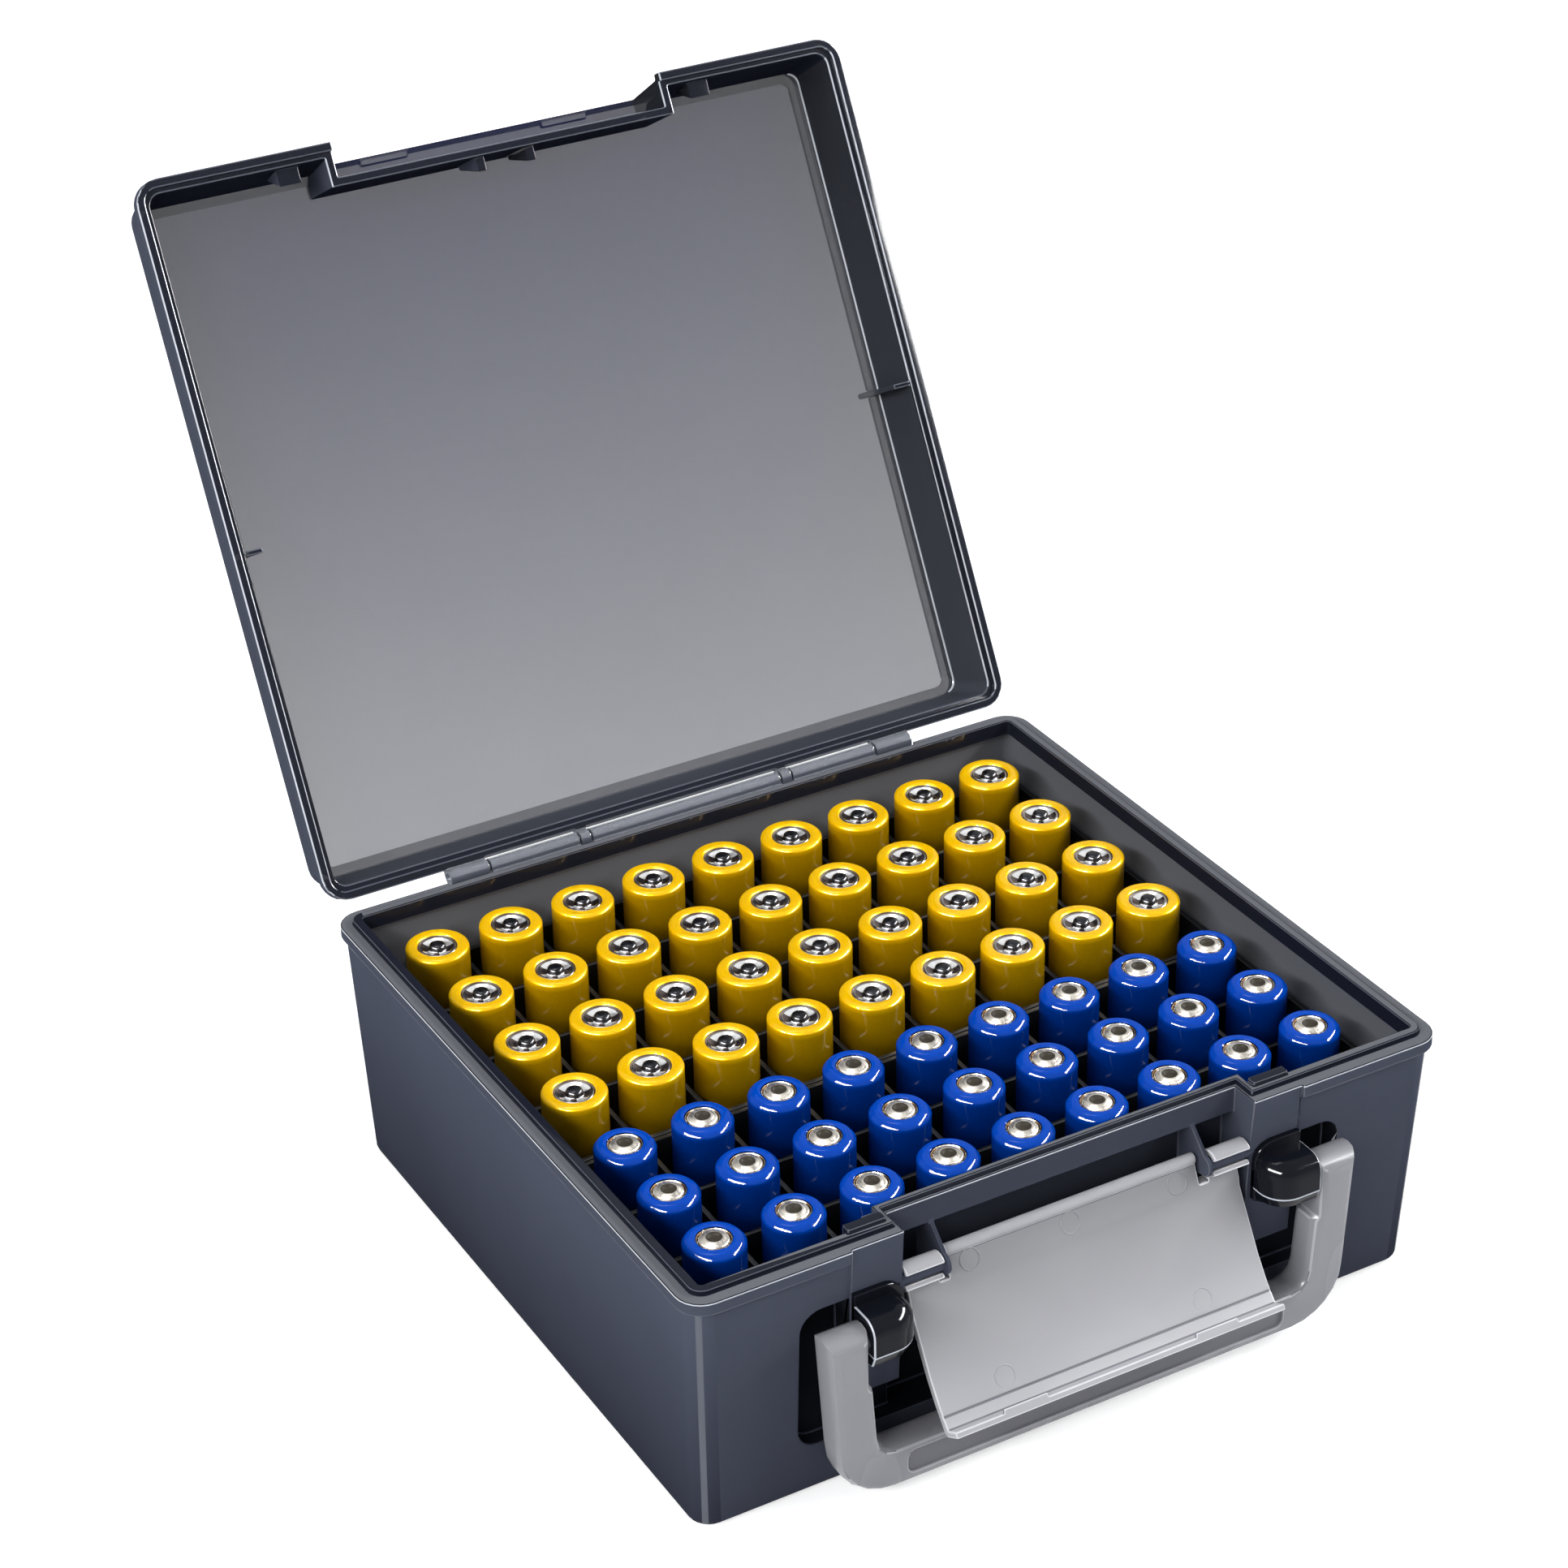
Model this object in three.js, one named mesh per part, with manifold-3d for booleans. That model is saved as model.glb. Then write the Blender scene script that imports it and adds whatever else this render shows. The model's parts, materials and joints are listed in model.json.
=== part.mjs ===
// Battery box: a smoke-coloured case with a hinged lid, a swinging latch and a carrying handle.
// Two black egg-crate trays inside hold upright AA cells, yellow at the back and blue in front.
// Millimetres, +Z up. The origin is the centre of the case's base, and the latch faces -Y.
// The lid stands open and the latch and handle hang down, as the box is used.

import * as THREE from 'three';
import { mergeVertices } from 'three/addons/utils/BufferGeometryUtils.js';
import Module from 'manifold-3d';

const wasm = await Module();
wasm.setup();

// Clearances and mesh fineness
const fitGap = 0.3; // between pieces that touch
const slideGap = 0.35; // round a tray or a rim that drops in
const overrun = 1; // how far a cut runs past what it cuts
const cornerSteps = 6; // segments in a quarter turn of a moulded corner
const roundSteps = 16; // segments round a pin or a barrel
const cellSides = 10; // segments round a cell
const edgeSteps = 3; // segments round the lid's top edge
const edgeMiddleShare = 0.29; // inset of a rounded edge's middle, of its radius

// Cells
const cellLength = 50.5;
const yellowCellDiameter = 14.4;
const blueCellDiameter = 13.9;
const cellShoulder = 0.9; // rounded edge at the top of a cell
const yellowNubDiameter = 5.5;
const blueButtonDiameter = 7.2;
const nubRise = 0.8; // a cell's contact above its rim
const columnCount = 9;
const columnPitch = 18.3;
const yellowRowCount = 4;
const yellowRowPitch = 22.4;
const blueRowCount = 3;
const blueRowPitch = 18.7;
const colourGap = 23.2; // front yellow row to back blue row
const linkWidth = 2; // strip that joins the three cells of a blue column at the foot
const linkHeight = 0.8;

// Trays
const trayWall = 1.2;
const trayFloor = 2.8;
const traySideRoom = 4.45; // free space beside the end cells
const trayBackRoom = 1.35;
const trayFrontRoom = 0.65;
const cellStandsProud = 10.3; // cell tops above the tray walls

// Case
const caseWall = 2.2;
const caseFloor = 2.4;
const cellHeadroom = 3.5; // cell tops to the rim ledge
const spreadX = 1.6; // how much each side leans out from base to rim
const spreadY = 3.5;
const caseCorner = 5;
const baseEdge = 1.5;
const flangeHeight = 2.9;
const flangeReach = 1;
const ledgeWidth = 3; // flat on top of the rim, outside the lip
const lipWidth = 2;
const lipRise = 1.2;

// Front recess, its pillars and its pocket
const recessReach = 9.6; // from the base's front edge to the inside of the finger well
const recessWidth = 84.8;
const lintelStep = 4.2; // how far the lintel stands in front of the well's back
const lintelHeight = 6.2;
const lintelLedge = 0.9;
const pillarWidth = 12.1;
const pillarProud = 0.3; // pillar face in front of the wall
const pillarFoot = 21.5;
const pocketWidth = 131.6;
const pocketFloor = 12;
const pocketHeadDrop = 12.5; // rim ledge to the pocket's top
const pocketCorner = 5;
const rimTabWidth = 8.7; // raised tab on the rim behind each pillar
const rimTabDepth = 2.25;
const rimTabRise = 2.2;

// Latch pins on the case, and the rib plate that holds each pin's inner end
const latchPinDrop = 13.2; // rim ledge to the pin axis
const latchPinSetback = 1.5; // pillar face to the pin axis
const latchPinRadius = 1.6;
const latchPinLength = 11; // from the pillar to the far side of the rib
const ribThickness = 1;
const ribNose = 2.6; // radius of the rib round the pin
const ribFootDrop = 5; // rib's lower edge at the well's back, below the pin axis
const ribNoseStart = 100; // where the nose's half circle begins, in degrees from the back
const ribNoseTurn = 180; // how far the nose goes round, in degrees

// Latch, drawn closed: "out" is in front of the pin axis and "up" is above it
const latchSideGap = 2;
const latchOpenAngle = 150;
const latchThickness = 1.8;
const latchSkirtDrop = 2.6; // lower edge below the pin axis
const latchFootOut = 3; // outer face at the lower edge
const latchShoulderUp = 5.3;
const latchShoulderOut = 3.8;
const latchFaceUp = 7.2; // where the flat outer face begins
const latchFaceOut = 4.5;
const latchGrooveUp = 14.3;
const latchGrooveWidth = 0.5;
const latchGrooveDepth = 0.3;
const latchBendUp = 22; // where the face begins to lean back over the lid
const latchBrowDrop = 5.3; // below the lip's underside
const latchBrowOut = 4;
const latchCrownOut = 3;
const latchLipThickness = 1.4;
const latchLipReach = 2.2; // behind the pin axis
const latchCrownRound = 0.8;
const clipWidth = 9;
const clipSideGap = 0.5; // clip to its rib and to the pillar
const clipOuterRadius = 3.1;
const clipMouthAngle = 75;
const clipMouthTilt = 30; // the mouth faces inwards and this much upwards
const ribSlotRadius = 4.4; // latch cut away round each rib
const beadRadius = 1.3;
const toothWidth = 10.6;
const toothThickness = 0.6;
const toothDrop = 0.9;
const tabWidth = 33.2; // thumb tab
const tabRise = 0.7;
const tabOut = 3.9;
const tabThickness = 1.5;
const arrowHeight = 4.4; // raised triangle on the outer face
const arrowWidth = 3.6;
const arrowLine = 0.7;
const arrowRise = 0.3;

// Handle and its brackets
const pivotDrop = 19.3; // rim ledge to the handle's axis
const barThickness = 8.3; // front to back
const barGap = 0.6; // handle's back to the pillar face
const armWidth = 9.6;
const armLean = 1.8; // how far each arm leans inwards to the grip
const armNotchDrop = 10; // below the axis, where the arm widens under its bracket
const armNotch = 0.9;
const gripHeight = 9.8;
const gripClearance = 0.5; // grip to the open latch as the handle swings past
const gripOuterRadius = 13;
const gripInnerRadius = 4;
const barEdge = 2.2; // rounded edges of the bar
const gripPanelWidth = 93;
const gripPanelDrop = 1.7; // below the grip's top
const gripPanelHeight = 5.4;
const gripPanelCorner = 1.8;
const gripPanelDepth = 0.8;
const handlePinRadius = 2.2;
const handlePinLength = 8.2;
const bracketSideGap = 0.4; // inside the pillar's edge
const bracketOuterGap = 0.1;
const bracketRise = 7; // top at the wall, above the axis
const bracketFall = 7; // bottom at the wall, below the axis
const bracketFrontFall = 2.5; // the bottom slopes up to this at the front
const bracketFront = 4.45; // front face from the axis
const bracketBrow = 1.5; // the top falls by this much before it turns down
const bracketBrowSpan = 3; // width of that slope, centred on the axis
const bracketShoulder = 3.5; // where the front's upper slope begins, above the axis
const bracketEdge = 1;
const bracketDome = 4.6; // rounded inner end, seen from above
const bracketBoreEnd = 1.2; // wall at the blind end, past the pin
const pegWidth = 6;
const pegHeight = 8;
const pegHook = 0.6; // peg shows this far inside the pillar wall

// Lid, drawn closed
const lidHeight = 19;
const lidStepIn = 0.6; // lid wall inside the case wall at the rim
const lidDraft = 2.2;
const lidWall = 2;
const lidTopEdge = 2.4;
const lidFlangeHeight = 3;
const lidFlangeReach = 1;
const lidOpenAngle = 118.4;
const lidNotchGap = 0.2; // lid notch narrower than the case's by this on each side
const lidNotchSetback = 1; // lid's notch wall behind the lintel face
const lidLedgeSetback = 0.5; // front of the catch ledge behind the latch pin axis
const slotSpread = 23.5; // centre of each catch slot from the middle
const slotWidth = 12;
const slotDepth = 1.3;
const slotSink = 1.2; // from the lid's top down in the ledge, which a slot doesn't pierce
const sideRibReach = 4.5;
const sideRibThickness = 1.2;
const sideRibFromHinge = 83;
const clipBossWidth = 5.5;
const clipBossReach = 4;
const clipBossHeight = 7;
const clipBossSpread = 53;
const clipBossLift = 3.2; // above the lid's rim
const bossTopShare = 0.33; // how much of a boss's reach is left at its upper end
const centreBossSpread = 6.4;
const centreBossWidth = 2.4;
const centreBossReach = 3.4;
const centreBossHeight = 11;

// Hinge, from the middle outwards
const hingeReach = 1.3; // axis behind the flange
const barrelRadius = 2;
const hingePinRadius = 0.9;
const barrelGap = 0.4;
const middleBarrelWidth = 50.2; // case
const shortBarrelWidth = 2.6; // lid
const longBarrelWidth = 22.7; // case
const endBarrelWidth = 9.9; // lid
const hingePinShort = 0.5; // pin ends inside the end barrels

// Heights
const trayBottom = caseFloor + fitGap;
const cellBottom = trayBottom + trayFloor + fitGap;
const cellTop = cellBottom + cellLength;
const trayTop = cellTop - cellStandsProud;
const rimTop = cellTop + cellHeadroom;
const flangeBottom = rimTop - flangeHeight;
const lintelBottom = rimTop - lintelHeight;
const pocketTop = rimTop - pocketHeadDrop;

// Across
const cellGridWidth = (columnCount - 1) * columnPitch;
const trayHalfWidth = cellGridWidth / 2 + yellowCellDiameter / 2 + traySideRoom + trayWall;
const baseHalfWidth = trayHalfWidth + slideGap + caseWall;
const rimHalfWidth = baseHalfWidth + spreadX;
const recessHalf = recessWidth / 2;
const pillarOuter = recessHalf + pillarWidth;

// Front to back
const trayBackMargin = yellowCellDiameter / 2 + trayBackRoom + trayWall;
const trayFrontMargin = blueCellDiameter / 2 + trayFrontRoom + trayWall;
const yellowGridDepth = (yellowRowCount - 1) * yellowRowPitch;
const blueGridDepth = (blueRowCount - 1) * blueRowPitch;
const trayDepth = trayBackMargin + yellowGridDepth + colourGap + blueGridDepth + trayFrontMargin;
const baseHalfDepth = (caseWall + 2 * slideGap + trayDepth + recessReach) / 2;
const rimHalfDepth = baseHalfDepth + spreadY;
const trayBack = baseHalfDepth - caseWall - slideGap;
const trayFront = trayBack - trayDepth;
const yellowBackRow = trayBack - trayBackMargin;
const blueBackRow = yellowBackRow - yellowGridDepth - colourGap;
const traySplit = blueBackRow + colourGap / 2;
const wellInside = trayFront - slideGap;
const wellFace = wellInside - caseWall;
const lintelFace = wellFace - lintelStep;
const lintelInside = lintelFace + caseWall;

// Axes
const hingeY = rimHalfDepth + flangeReach + hingeReach;
const hingeZ = rimTop + fitGap / 2;
const latchPinZ = rimTop - latchPinDrop;
const latchPinY = frontWall(latchPinZ) - pillarProud + latchPinSetback;
const pivotZ = rimTop - pivotDrop;
const barBack = frontWall(pivotZ + barThickness / 2) - pillarProud - barGap;
const pivotY = barBack - barThickness / 2;
const armInner = pillarOuter - bracketOuterGap + fitGap;

// Front wall's outer face at a height: the wall leans out from the base to the rim
function frontWall(z) {
  return -(baseHalfDepth + (spreadY * z) / rimTop);
}

// A closed three.js geometry as a solid that can be cut and joined
function solidOf(geometry) {
  const bare = geometry.clone();
  bare.deleteAttribute('normal');
  bare.deleteAttribute('uv');
  const welded = mergeVertices(bare);
  const vertProperties = new Float32Array(welded.attributes.position.array);
  const triVerts = new Uint32Array(welded.index.array);
  return new wasm.Manifold(new wasm.Mesh({ numProp: 3, vertProperties, triVerts }));
}

function geometryOf(solid) {
  const mesh = solid.getMesh();
  const geometry = new THREE.BufferGeometry();
  geometry.setAttribute('position', new THREE.BufferAttribute(new Float32Array(mesh.vertProperties), 3));
  geometry.setIndex(new THREE.BufferAttribute(new Uint32Array(mesh.triVerts), 1));
  geometry.computeVertexNormals();
  return geometry;
}

function joined(solids) {
  return solids.reduce((whole, solid) => whole.add(solid));
}

function cut(solid, tools) {
  return tools.reduce((rest, tool) => rest.subtract(tool), solid);
}

function box(x0, x1, y0, y1, z0, z1) {
  const geometry = new THREE.BoxGeometry(x1 - x0, y1 - y0, z1 - z0);
  geometry.translate((x0 + x1) / 2, (y0 + y1) / 2, (z0 + z1) / 2);
  return solidOf(geometry);
}

// An outline of [y, z] points, run along X
function alongX(points, x0, x1) {
  const shape = new THREE.Shape(points.map(([y, z]) => new THREE.Vector2(y, z)));
  const geometry = new THREE.ExtrudeGeometry(shape, { depth: x1 - x0, bevelEnabled: false });
  const turn = new THREE.Matrix4().makeBasis(
    new THREE.Vector3(0, 1, 0),
    new THREE.Vector3(0, 0, 1),
    new THREE.Vector3(1, 0, 0),
  );
  geometry.applyMatrix4(turn);
  geometry.translate(x0, 0, 0);
  return solidOf(geometry);
}

// An outline of [x, z] points, run along Y, with an optional rounded edge inside the outline
function alongY(points, y0, y1, edge = 0) {
  const shape = new THREE.Shape(points.map(([x, z]) => new THREE.Vector2(x, z)));
  const geometry = new THREE.ExtrudeGeometry(shape, {
    depth: y1 - y0 - 2 * edge,
    bevelEnabled: edge > 0,
    bevelSize: edge,
    bevelThickness: edge,
    bevelOffset: -edge,
    bevelSegments: 2,
  });
  const turn = new THREE.Matrix4().makeBasis(
    new THREE.Vector3(1, 0, 0),
    new THREE.Vector3(0, 0, 1),
    new THREE.Vector3(0, -1, 0),
  );
  geometry.applyMatrix4(turn);
  geometry.translate(0, y1 - edge, 0);
  return solidOf(geometry);
}

// A stack of outlines of [x, y] points, each with the same number of points, from the bottom up
function stacked(levels) {
  const count = levels[0].points.length;
  const positions = levels.flatMap(({ z, points }) => points.flatMap(([x, y]) => [x, y, z]));
  const index = [];
  for (let level = 0; level < levels.length - 1; level += 1) {
    for (let i = 0; i < count; i += 1) {
      const next = (i + 1) % count;
      const low = level * count;
      const high = low + count;
      index.push(low + i, low + next, high + next);
      index.push(low + i, high + next, high + i);
    }
  }
  const flat = levels[0].points.map(([x, y]) => new THREE.Vector2(x, y));
  const top = (levels.length - 1) * count;
  for (const [a, b, c] of THREE.ShapeUtils.triangulateShape(flat, [])) {
    index.push(c, b, a);
    index.push(top + a, top + b, top + c);
  }
  const geometry = new THREE.BufferGeometry();
  geometry.setAttribute('position', new THREE.Float32BufferAttribute(positions, 3));
  geometry.setIndex(index);
  return solidOf(geometry);
}

function arc(centreX, centreY, radius, from, to, steps = cornerSteps) {
  const points = [];
  for (let i = 0; i <= steps; i += 1) {
    const angle = THREE.MathUtils.degToRad(from + ((to - from) * i) / steps);
    points.push([centreX + radius * Math.cos(angle), centreY + radius * Math.sin(angle)]);
  }
  return points;
}

function roundedRectangle(halfWidth, halfDepth, radius) {
  const x = halfWidth - radius;
  const y = halfDepth - radius;
  return [
    ...arc(x, -y, radius, -90, 0),
    ...arc(x, y, radius, 0, 90),
    ...arc(-x, y, radius, 90, 180),
    ...arc(-x, -y, radius, 180, 270),
  ];
}

// A rounded rectangle whose front edge steps back between -notchHalf and +notchHalf
function notchedRectangle(halfWidth, halfDepth, radius, notchHalf, notchBack) {
  return [
    [-notchHalf, -halfDepth],
    [-notchHalf, notchBack],
    [notchHalf, notchBack],
    [notchHalf, -halfDepth],
    ...roundedRectangle(halfWidth, halfDepth, radius),
  ];
}

function rod(radius, x0, x1, y, z, steps = roundSteps) {
  const geometry = new THREE.CylinderGeometry(radius, radius, x1 - x0, steps);
  geometry.rotateZ(Math.PI / 2);
  geometry.translate((x0 + x1) / 2, y, z);
  return solidOf(geometry);
}

// The same solid on the right and on the left
function bothSides(solid) {
  return solid.add(solid.mirror([1, 0, 0]));
}

const smokePlastic = new THREE.MeshStandardMaterial({ color: 0x464a54, roughness: 0.3, metalness: 0 });
const smokeLid = new THREE.MeshStandardMaterial({ color: 0x70747c, roughness: 0.15, metalness: 0 });
const blackGloss = new THREE.MeshStandardMaterial({ color: 0x191c24, roughness: 0.2, metalness: 0 });
const blackTray = new THREE.MeshStandardMaterial({ color: 0x0c0d10, roughness: 0.5, metalness: 0 });
const latchGrey = new THREE.MeshStandardMaterial({ color: 0xafafb2, roughness: 0.4, metalness: 0 });
const handleGrey = new THREE.MeshStandardMaterial({ color: 0x969699, roughness: 0.45, metalness: 0 });
const steel = new THREE.MeshStandardMaterial({ color: 0xc0c2c6, roughness: 0.25, metalness: 1 });
const yellowSkin = new THREE.MeshStandardMaterial({ color: 0xf0be00, roughness: 0.35, metalness: 0.3 });
const blueSkin = new THREE.MeshStandardMaterial({ color: 0x003cbe, roughness: 0.25, metalness: 0 });

function named(name, solid, material) {
  const mesh = new THREE.Mesh(geometryOf(solid), material);
  mesh.name = name;
  return mesh;
}

// Where each hinge barrel starts and ends along X, on the right-hand side
function barrelSpans() {
  const middleEnd = middleBarrelWidth / 2;
  const shortStart = middleEnd + barrelGap;
  const shortEnd = shortStart + shortBarrelWidth;
  const longStart = shortEnd + barrelGap;
  const longEnd = longStart + longBarrelWidth;
  const endStart = longEnd + barrelGap;
  const endEnd = endStart + endBarrelWidth;
  return { middleEnd, shortStart, shortEnd, longStart, longEnd, endStart, endEnd };
}

const spans = barrelSpans();
const caseBarrels = [
  [-spans.middleEnd, spans.middleEnd],
  [spans.longStart, spans.longEnd],
  [-spans.longEnd, -spans.longStart],
];
const lidBarrels = [
  [spans.shortStart, spans.shortEnd],
  [-spans.shortEnd, -spans.shortStart],
  [spans.endStart, spans.endEnd],
  [-spans.endEnd, -spans.endStart],
];

// One hinge barrel with the web that ties it to its rim
function barrel([x0, x1], axisY, axisZ, webFront, webLow, webHigh) {
  const web = box(x0, x1, webFront, axisY, webLow, webHigh);
  return rod(barrelRadius, x0, x1, axisY, axisZ).add(web);
}

// Room that a barrel of the other half needs in a rim
function barrelRoom([x0, x1], axisY, axisZ) {
  return rod(barrelRadius + barrelGap, x0 - barrelGap, x1 + barrelGap, axisY, axisZ);
}

function hingeBore(axisY, axisZ) {
  return rod(hingePinRadius + fitGap, -spans.endEnd - overrun, spans.endEnd + overrun, axisY, axisZ);
}

// Outer shell of the case, solid for now
function caseBlock() {
  const outline = (inset) => {
    return roundedRectangle(baseHalfWidth - inset, baseHalfDepth - inset, caseCorner - inset);
  };
  const wall = stacked([
    { z: 0, points: outline(baseEdge) },
    { z: baseEdge * edgeMiddleShare, points: outline(baseEdge * edgeMiddleShare) },
    { z: baseEdge, points: outline(0) },
    { z: rimTop, points: roundedRectangle(rimHalfWidth, rimHalfDepth, caseCorner) },
  ]);
  const flangePoints = roundedRectangle(
    rimHalfWidth + flangeReach,
    rimHalfDepth + flangeReach,
    caseCorner + flangeReach,
  );
  const flange = stacked([
    { z: flangeBottom, points: flangePoints },
    { z: rimTop, points: flangePoints },
  ]);
  const breakFront = -rimHalfDepth - flangeReach - overrun;
  const flangeBreak = box(-pillarOuter, pillarOuter, breakFront, -rimHalfDepth, 0, rimTop + overrun);
  const lipPoints = notchedRectangle(
    rimHalfWidth + flangeReach - ledgeWidth,
    rimHalfDepth + flangeReach - ledgeWidth,
    caseCorner + flangeReach - ledgeWidth,
    recessHalf + lintelLedge,
    lintelFace + lintelLedge,
  );
  const lip = stacked([
    { z: flangeBottom, points: lipPoints },
    { z: rimTop + lipRise, points: lipPoints },
  ]);
  return joined([wall, cut(flange, [flangeBreak]), lip]);
}

// Inside of the case, less the walls that line the recess and the pocket
function caseHollow() {
  const low = roundedRectangle(baseHalfWidth - caseWall, baseHalfDepth - caseWall, caseCorner - caseWall);
  const high = roundedRectangle(
    rimHalfWidth - caseWall - (spreadX * flangeHeight) / rimTop,
    rimHalfDepth - caseWall - (spreadY * flangeHeight) / rimTop,
    caseCorner - caseWall,
  );
  const mouth = notchedRectangle(
    rimHalfWidth + flangeReach - ledgeWidth - lipWidth,
    rimHalfDepth + flangeReach - ledgeWidth - lipWidth,
    caseCorner + flangeReach - ledgeWidth - lipWidth,
    recessHalf + caseWall,
    lintelInside,
  );
  const hollow = stacked([
    { z: caseFloor, points: low },
    { z: flangeBottom, points: high },
  ]);
  const over = rimTop + lipRise + overrun;
  const opening = stacked([
    { z: flangeBottom - overrun, points: mouth },
    { z: over, points: mouth },
  ]);
  const front = -rimHalfDepth - overrun;
  const pocketHalf = pocketWidth / 2 + caseWall;
  const wellHalf = recessHalf + caseWall;
  const pocketLow = pocketFloor - caseWall;
  const pocketHigh = pocketTop + caseWall;
  const pocketLiner = box(-pocketHalf, pocketHalf, front, lintelInside, pocketLow, pocketHigh);
  const wellLiner = box(-wellHalf, wellHalf, front, wellInside, 0, lintelBottom + caseWall);
  const lintelLiner = box(-wellHalf, wellHalf, front, lintelInside, lintelBottom, over + overrun);
  return cut(hollow.add(opening), [pocketLiner, wellLiner, lintelLiner]);
}

// Column of the front wall beside the recess, which carries the latch pin and the bracket
function pillar() {
  const points = [
    [lintelInside, pillarFoot],
    [lintelInside, rimTop],
    [frontWall(rimTop) - pillarProud, rimTop],
    [frontWall(pillarFoot) - pillarProud, pillarFoot],
  ];
  return alongX(points, recessHalf, pillarOuter);
}

// Space behind a pillar, so that its walls are as thick as the rest
function pillarCore() {
  const points = [
    [lintelInside + overrun, pillarFoot + caseWall],
    [lintelInside + overrun, flangeBottom],
    [frontWall(flangeBottom) - pillarProud + caseWall, flangeBottom],
    [frontWall(pillarFoot + caseWall) - pillarProud + caseWall, pillarFoot + caseWall],
  ];
  return alongX(points, recessHalf + caseWall, pillarOuter - caseWall);
}

// Cuts from the front: the shallow pocket, the deep finger well and the open recess above it
function frontCuts() {
  const front = -rimHalfDepth - 2 * overrun - flangeReach;
  const halfHeight = (pocketTop - pocketFloor) / 2;
  const outline = roundedRectangle(pocketWidth / 2, halfHeight, pocketCorner);
  const pocketPoints = outline.map(([x, z]) => [x, z + pocketFloor + halfHeight]);
  const pocket = cut(alongY(pocketPoints, front, lintelFace), [bothSides(pillar())]);
  const well = box(-recessHalf, recessHalf, front, wellFace, pocketFloor, lintelBottom);
  const over = rimTop + lipRise + overrun;
  const recess = box(-recessHalf, recessHalf, front, lintelFace, lintelBottom, over);
  return joined([pocket, well, recess]);
}

// Plate that holds the inner end of a latch pin
function pinRib() {
  const noseEnd = ribNoseStart + ribNoseTurn;
  const nose = arc(latchPinY, latchPinZ, ribNose, ribNoseStart, noseEnd, roundSteps / 2);
  const points = [
    [wellFace + overrun / 2, latchPinZ - ribFootDrop],
    [wellFace + overrun / 2, lintelBottom + overrun / 2],
    [lintelFace, lintelBottom + overrun / 2],
    ...nose,
  ];
  const inner = recessHalf - latchPinLength;
  return alongX(points, inner, inner + ribThickness);
}

function latchPin() {
  const inner = recessHalf - latchPinLength;
  return rod(latchPinRadius, inner, recessHalf + overrun, latchPinY, latchPinZ);
}

// Place of the peg that fixes a bracket to its pillar
function pegSpan() {
  const x0 = recessHalf + (pillarWidth - pegWidth) / 2;
  return { x0, x1: x0 + pegWidth, z0: pivotZ - pegHeight / 2, z1: pivotZ + pegHeight / 2 };
}

function pegHole() {
  const { x0, x1, z0, z1 } = pegSpan();
  return box(x0 - fitGap, x1 + fitGap, -rimHalfDepth - overrun, lintelFace, z0 - fitGap, z1 + fitGap);
}

// Inside face of a lid wall at a height above the lid's rim, from the case's half size at the rim
function lidInside(rimHalf, height) {
  return rimHalf - lidStepIn - (lidDraft * height) / lidHeight - lidWall;
}

function rimTab() {
  const x0 = recessHalf + caseWall;
  const front = -lidInside(rimHalfDepth, rimTabRise) + fitGap;
  return box(x0, x0 + rimTabWidth, front, front + rimTabDepth, flangeBottom, rimTop + rimTabRise);
}

function caseBody() {
  const outer = joined([caseBlock(), bothSides(pillar())]);
  const shell = cut(outer, [caseHollow(), frontCuts(), bothSides(pillarCore())]);
  const webFront = rimHalfDepth - overrun;
  const webLow = hingeZ - barrelRadius;
  const barrels = caseBarrels.map((span) => barrel(span, hingeY, hingeZ, webFront, webLow, rimTop));
  const details = [bothSides(pinRib()), bothSides(latchPin()), bothSides(rimTab()), ...barrels];
  const rooms = lidBarrels.map((span) => barrelRoom(span, hingeY, hingeZ));
  return cut(joined([shell, ...details]), [...rooms, hingeBore(hingeY, hingeZ), bothSides(pegHole())]);
}

function hingePin() {
  const end = spans.endEnd - hingePinShort;
  return rod(hingePinRadius, -end, end, hingeY, hingeZ);
}

function columnX(column) {
  return column * columnPitch - cellGridWidth / 2;
}

// One tray: a block with a square pocket for each cell
function tray(front, back, rows, rowPitch, firstRow) {
  const radius = caseCorner - caseWall - slideGap;
  const halfDepth = (back - front) / 2;
  const points = roundedRectangle(trayHalfWidth, halfDepth, radius);
  const placed = points.map(([x, y]) => [x, y + (front + back) / 2]);
  const block = stacked([
    { z: trayBottom, points: placed },
    { z: trayTop, points: placed },
  ]);
  const pockets = [];
  for (let row = 0; row < rows; row += 1) {
    for (let column = 0; column < columnCount; column += 1) {
      const x = columnX(column);
      const y = firstRow - row * rowPitch;
      const halfX = (columnPitch - trayWall) / 2;
      const halfY = (rowPitch - trayWall) / 2;
      const x0 = column === 0 ? -trayHalfWidth + trayWall : x - halfX;
      const x1 = column === columnCount - 1 ? trayHalfWidth - trayWall : x + halfX;
      const y0 = row === rows - 1 ? front + trayWall : y - halfY;
      const y1 = row === 0 ? back - trayWall : y + halfY;
      pockets.push(box(x0, x1, y0, y1, trayBottom + trayFloor, trayTop + overrun));
    }
  }
  return cut(block, pockets);
}

function yellowTray() {
  return tray(traySplit + fitGap / 2, trayBack, yellowRowCount, yellowRowPitch, yellowBackRow);
}

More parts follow.
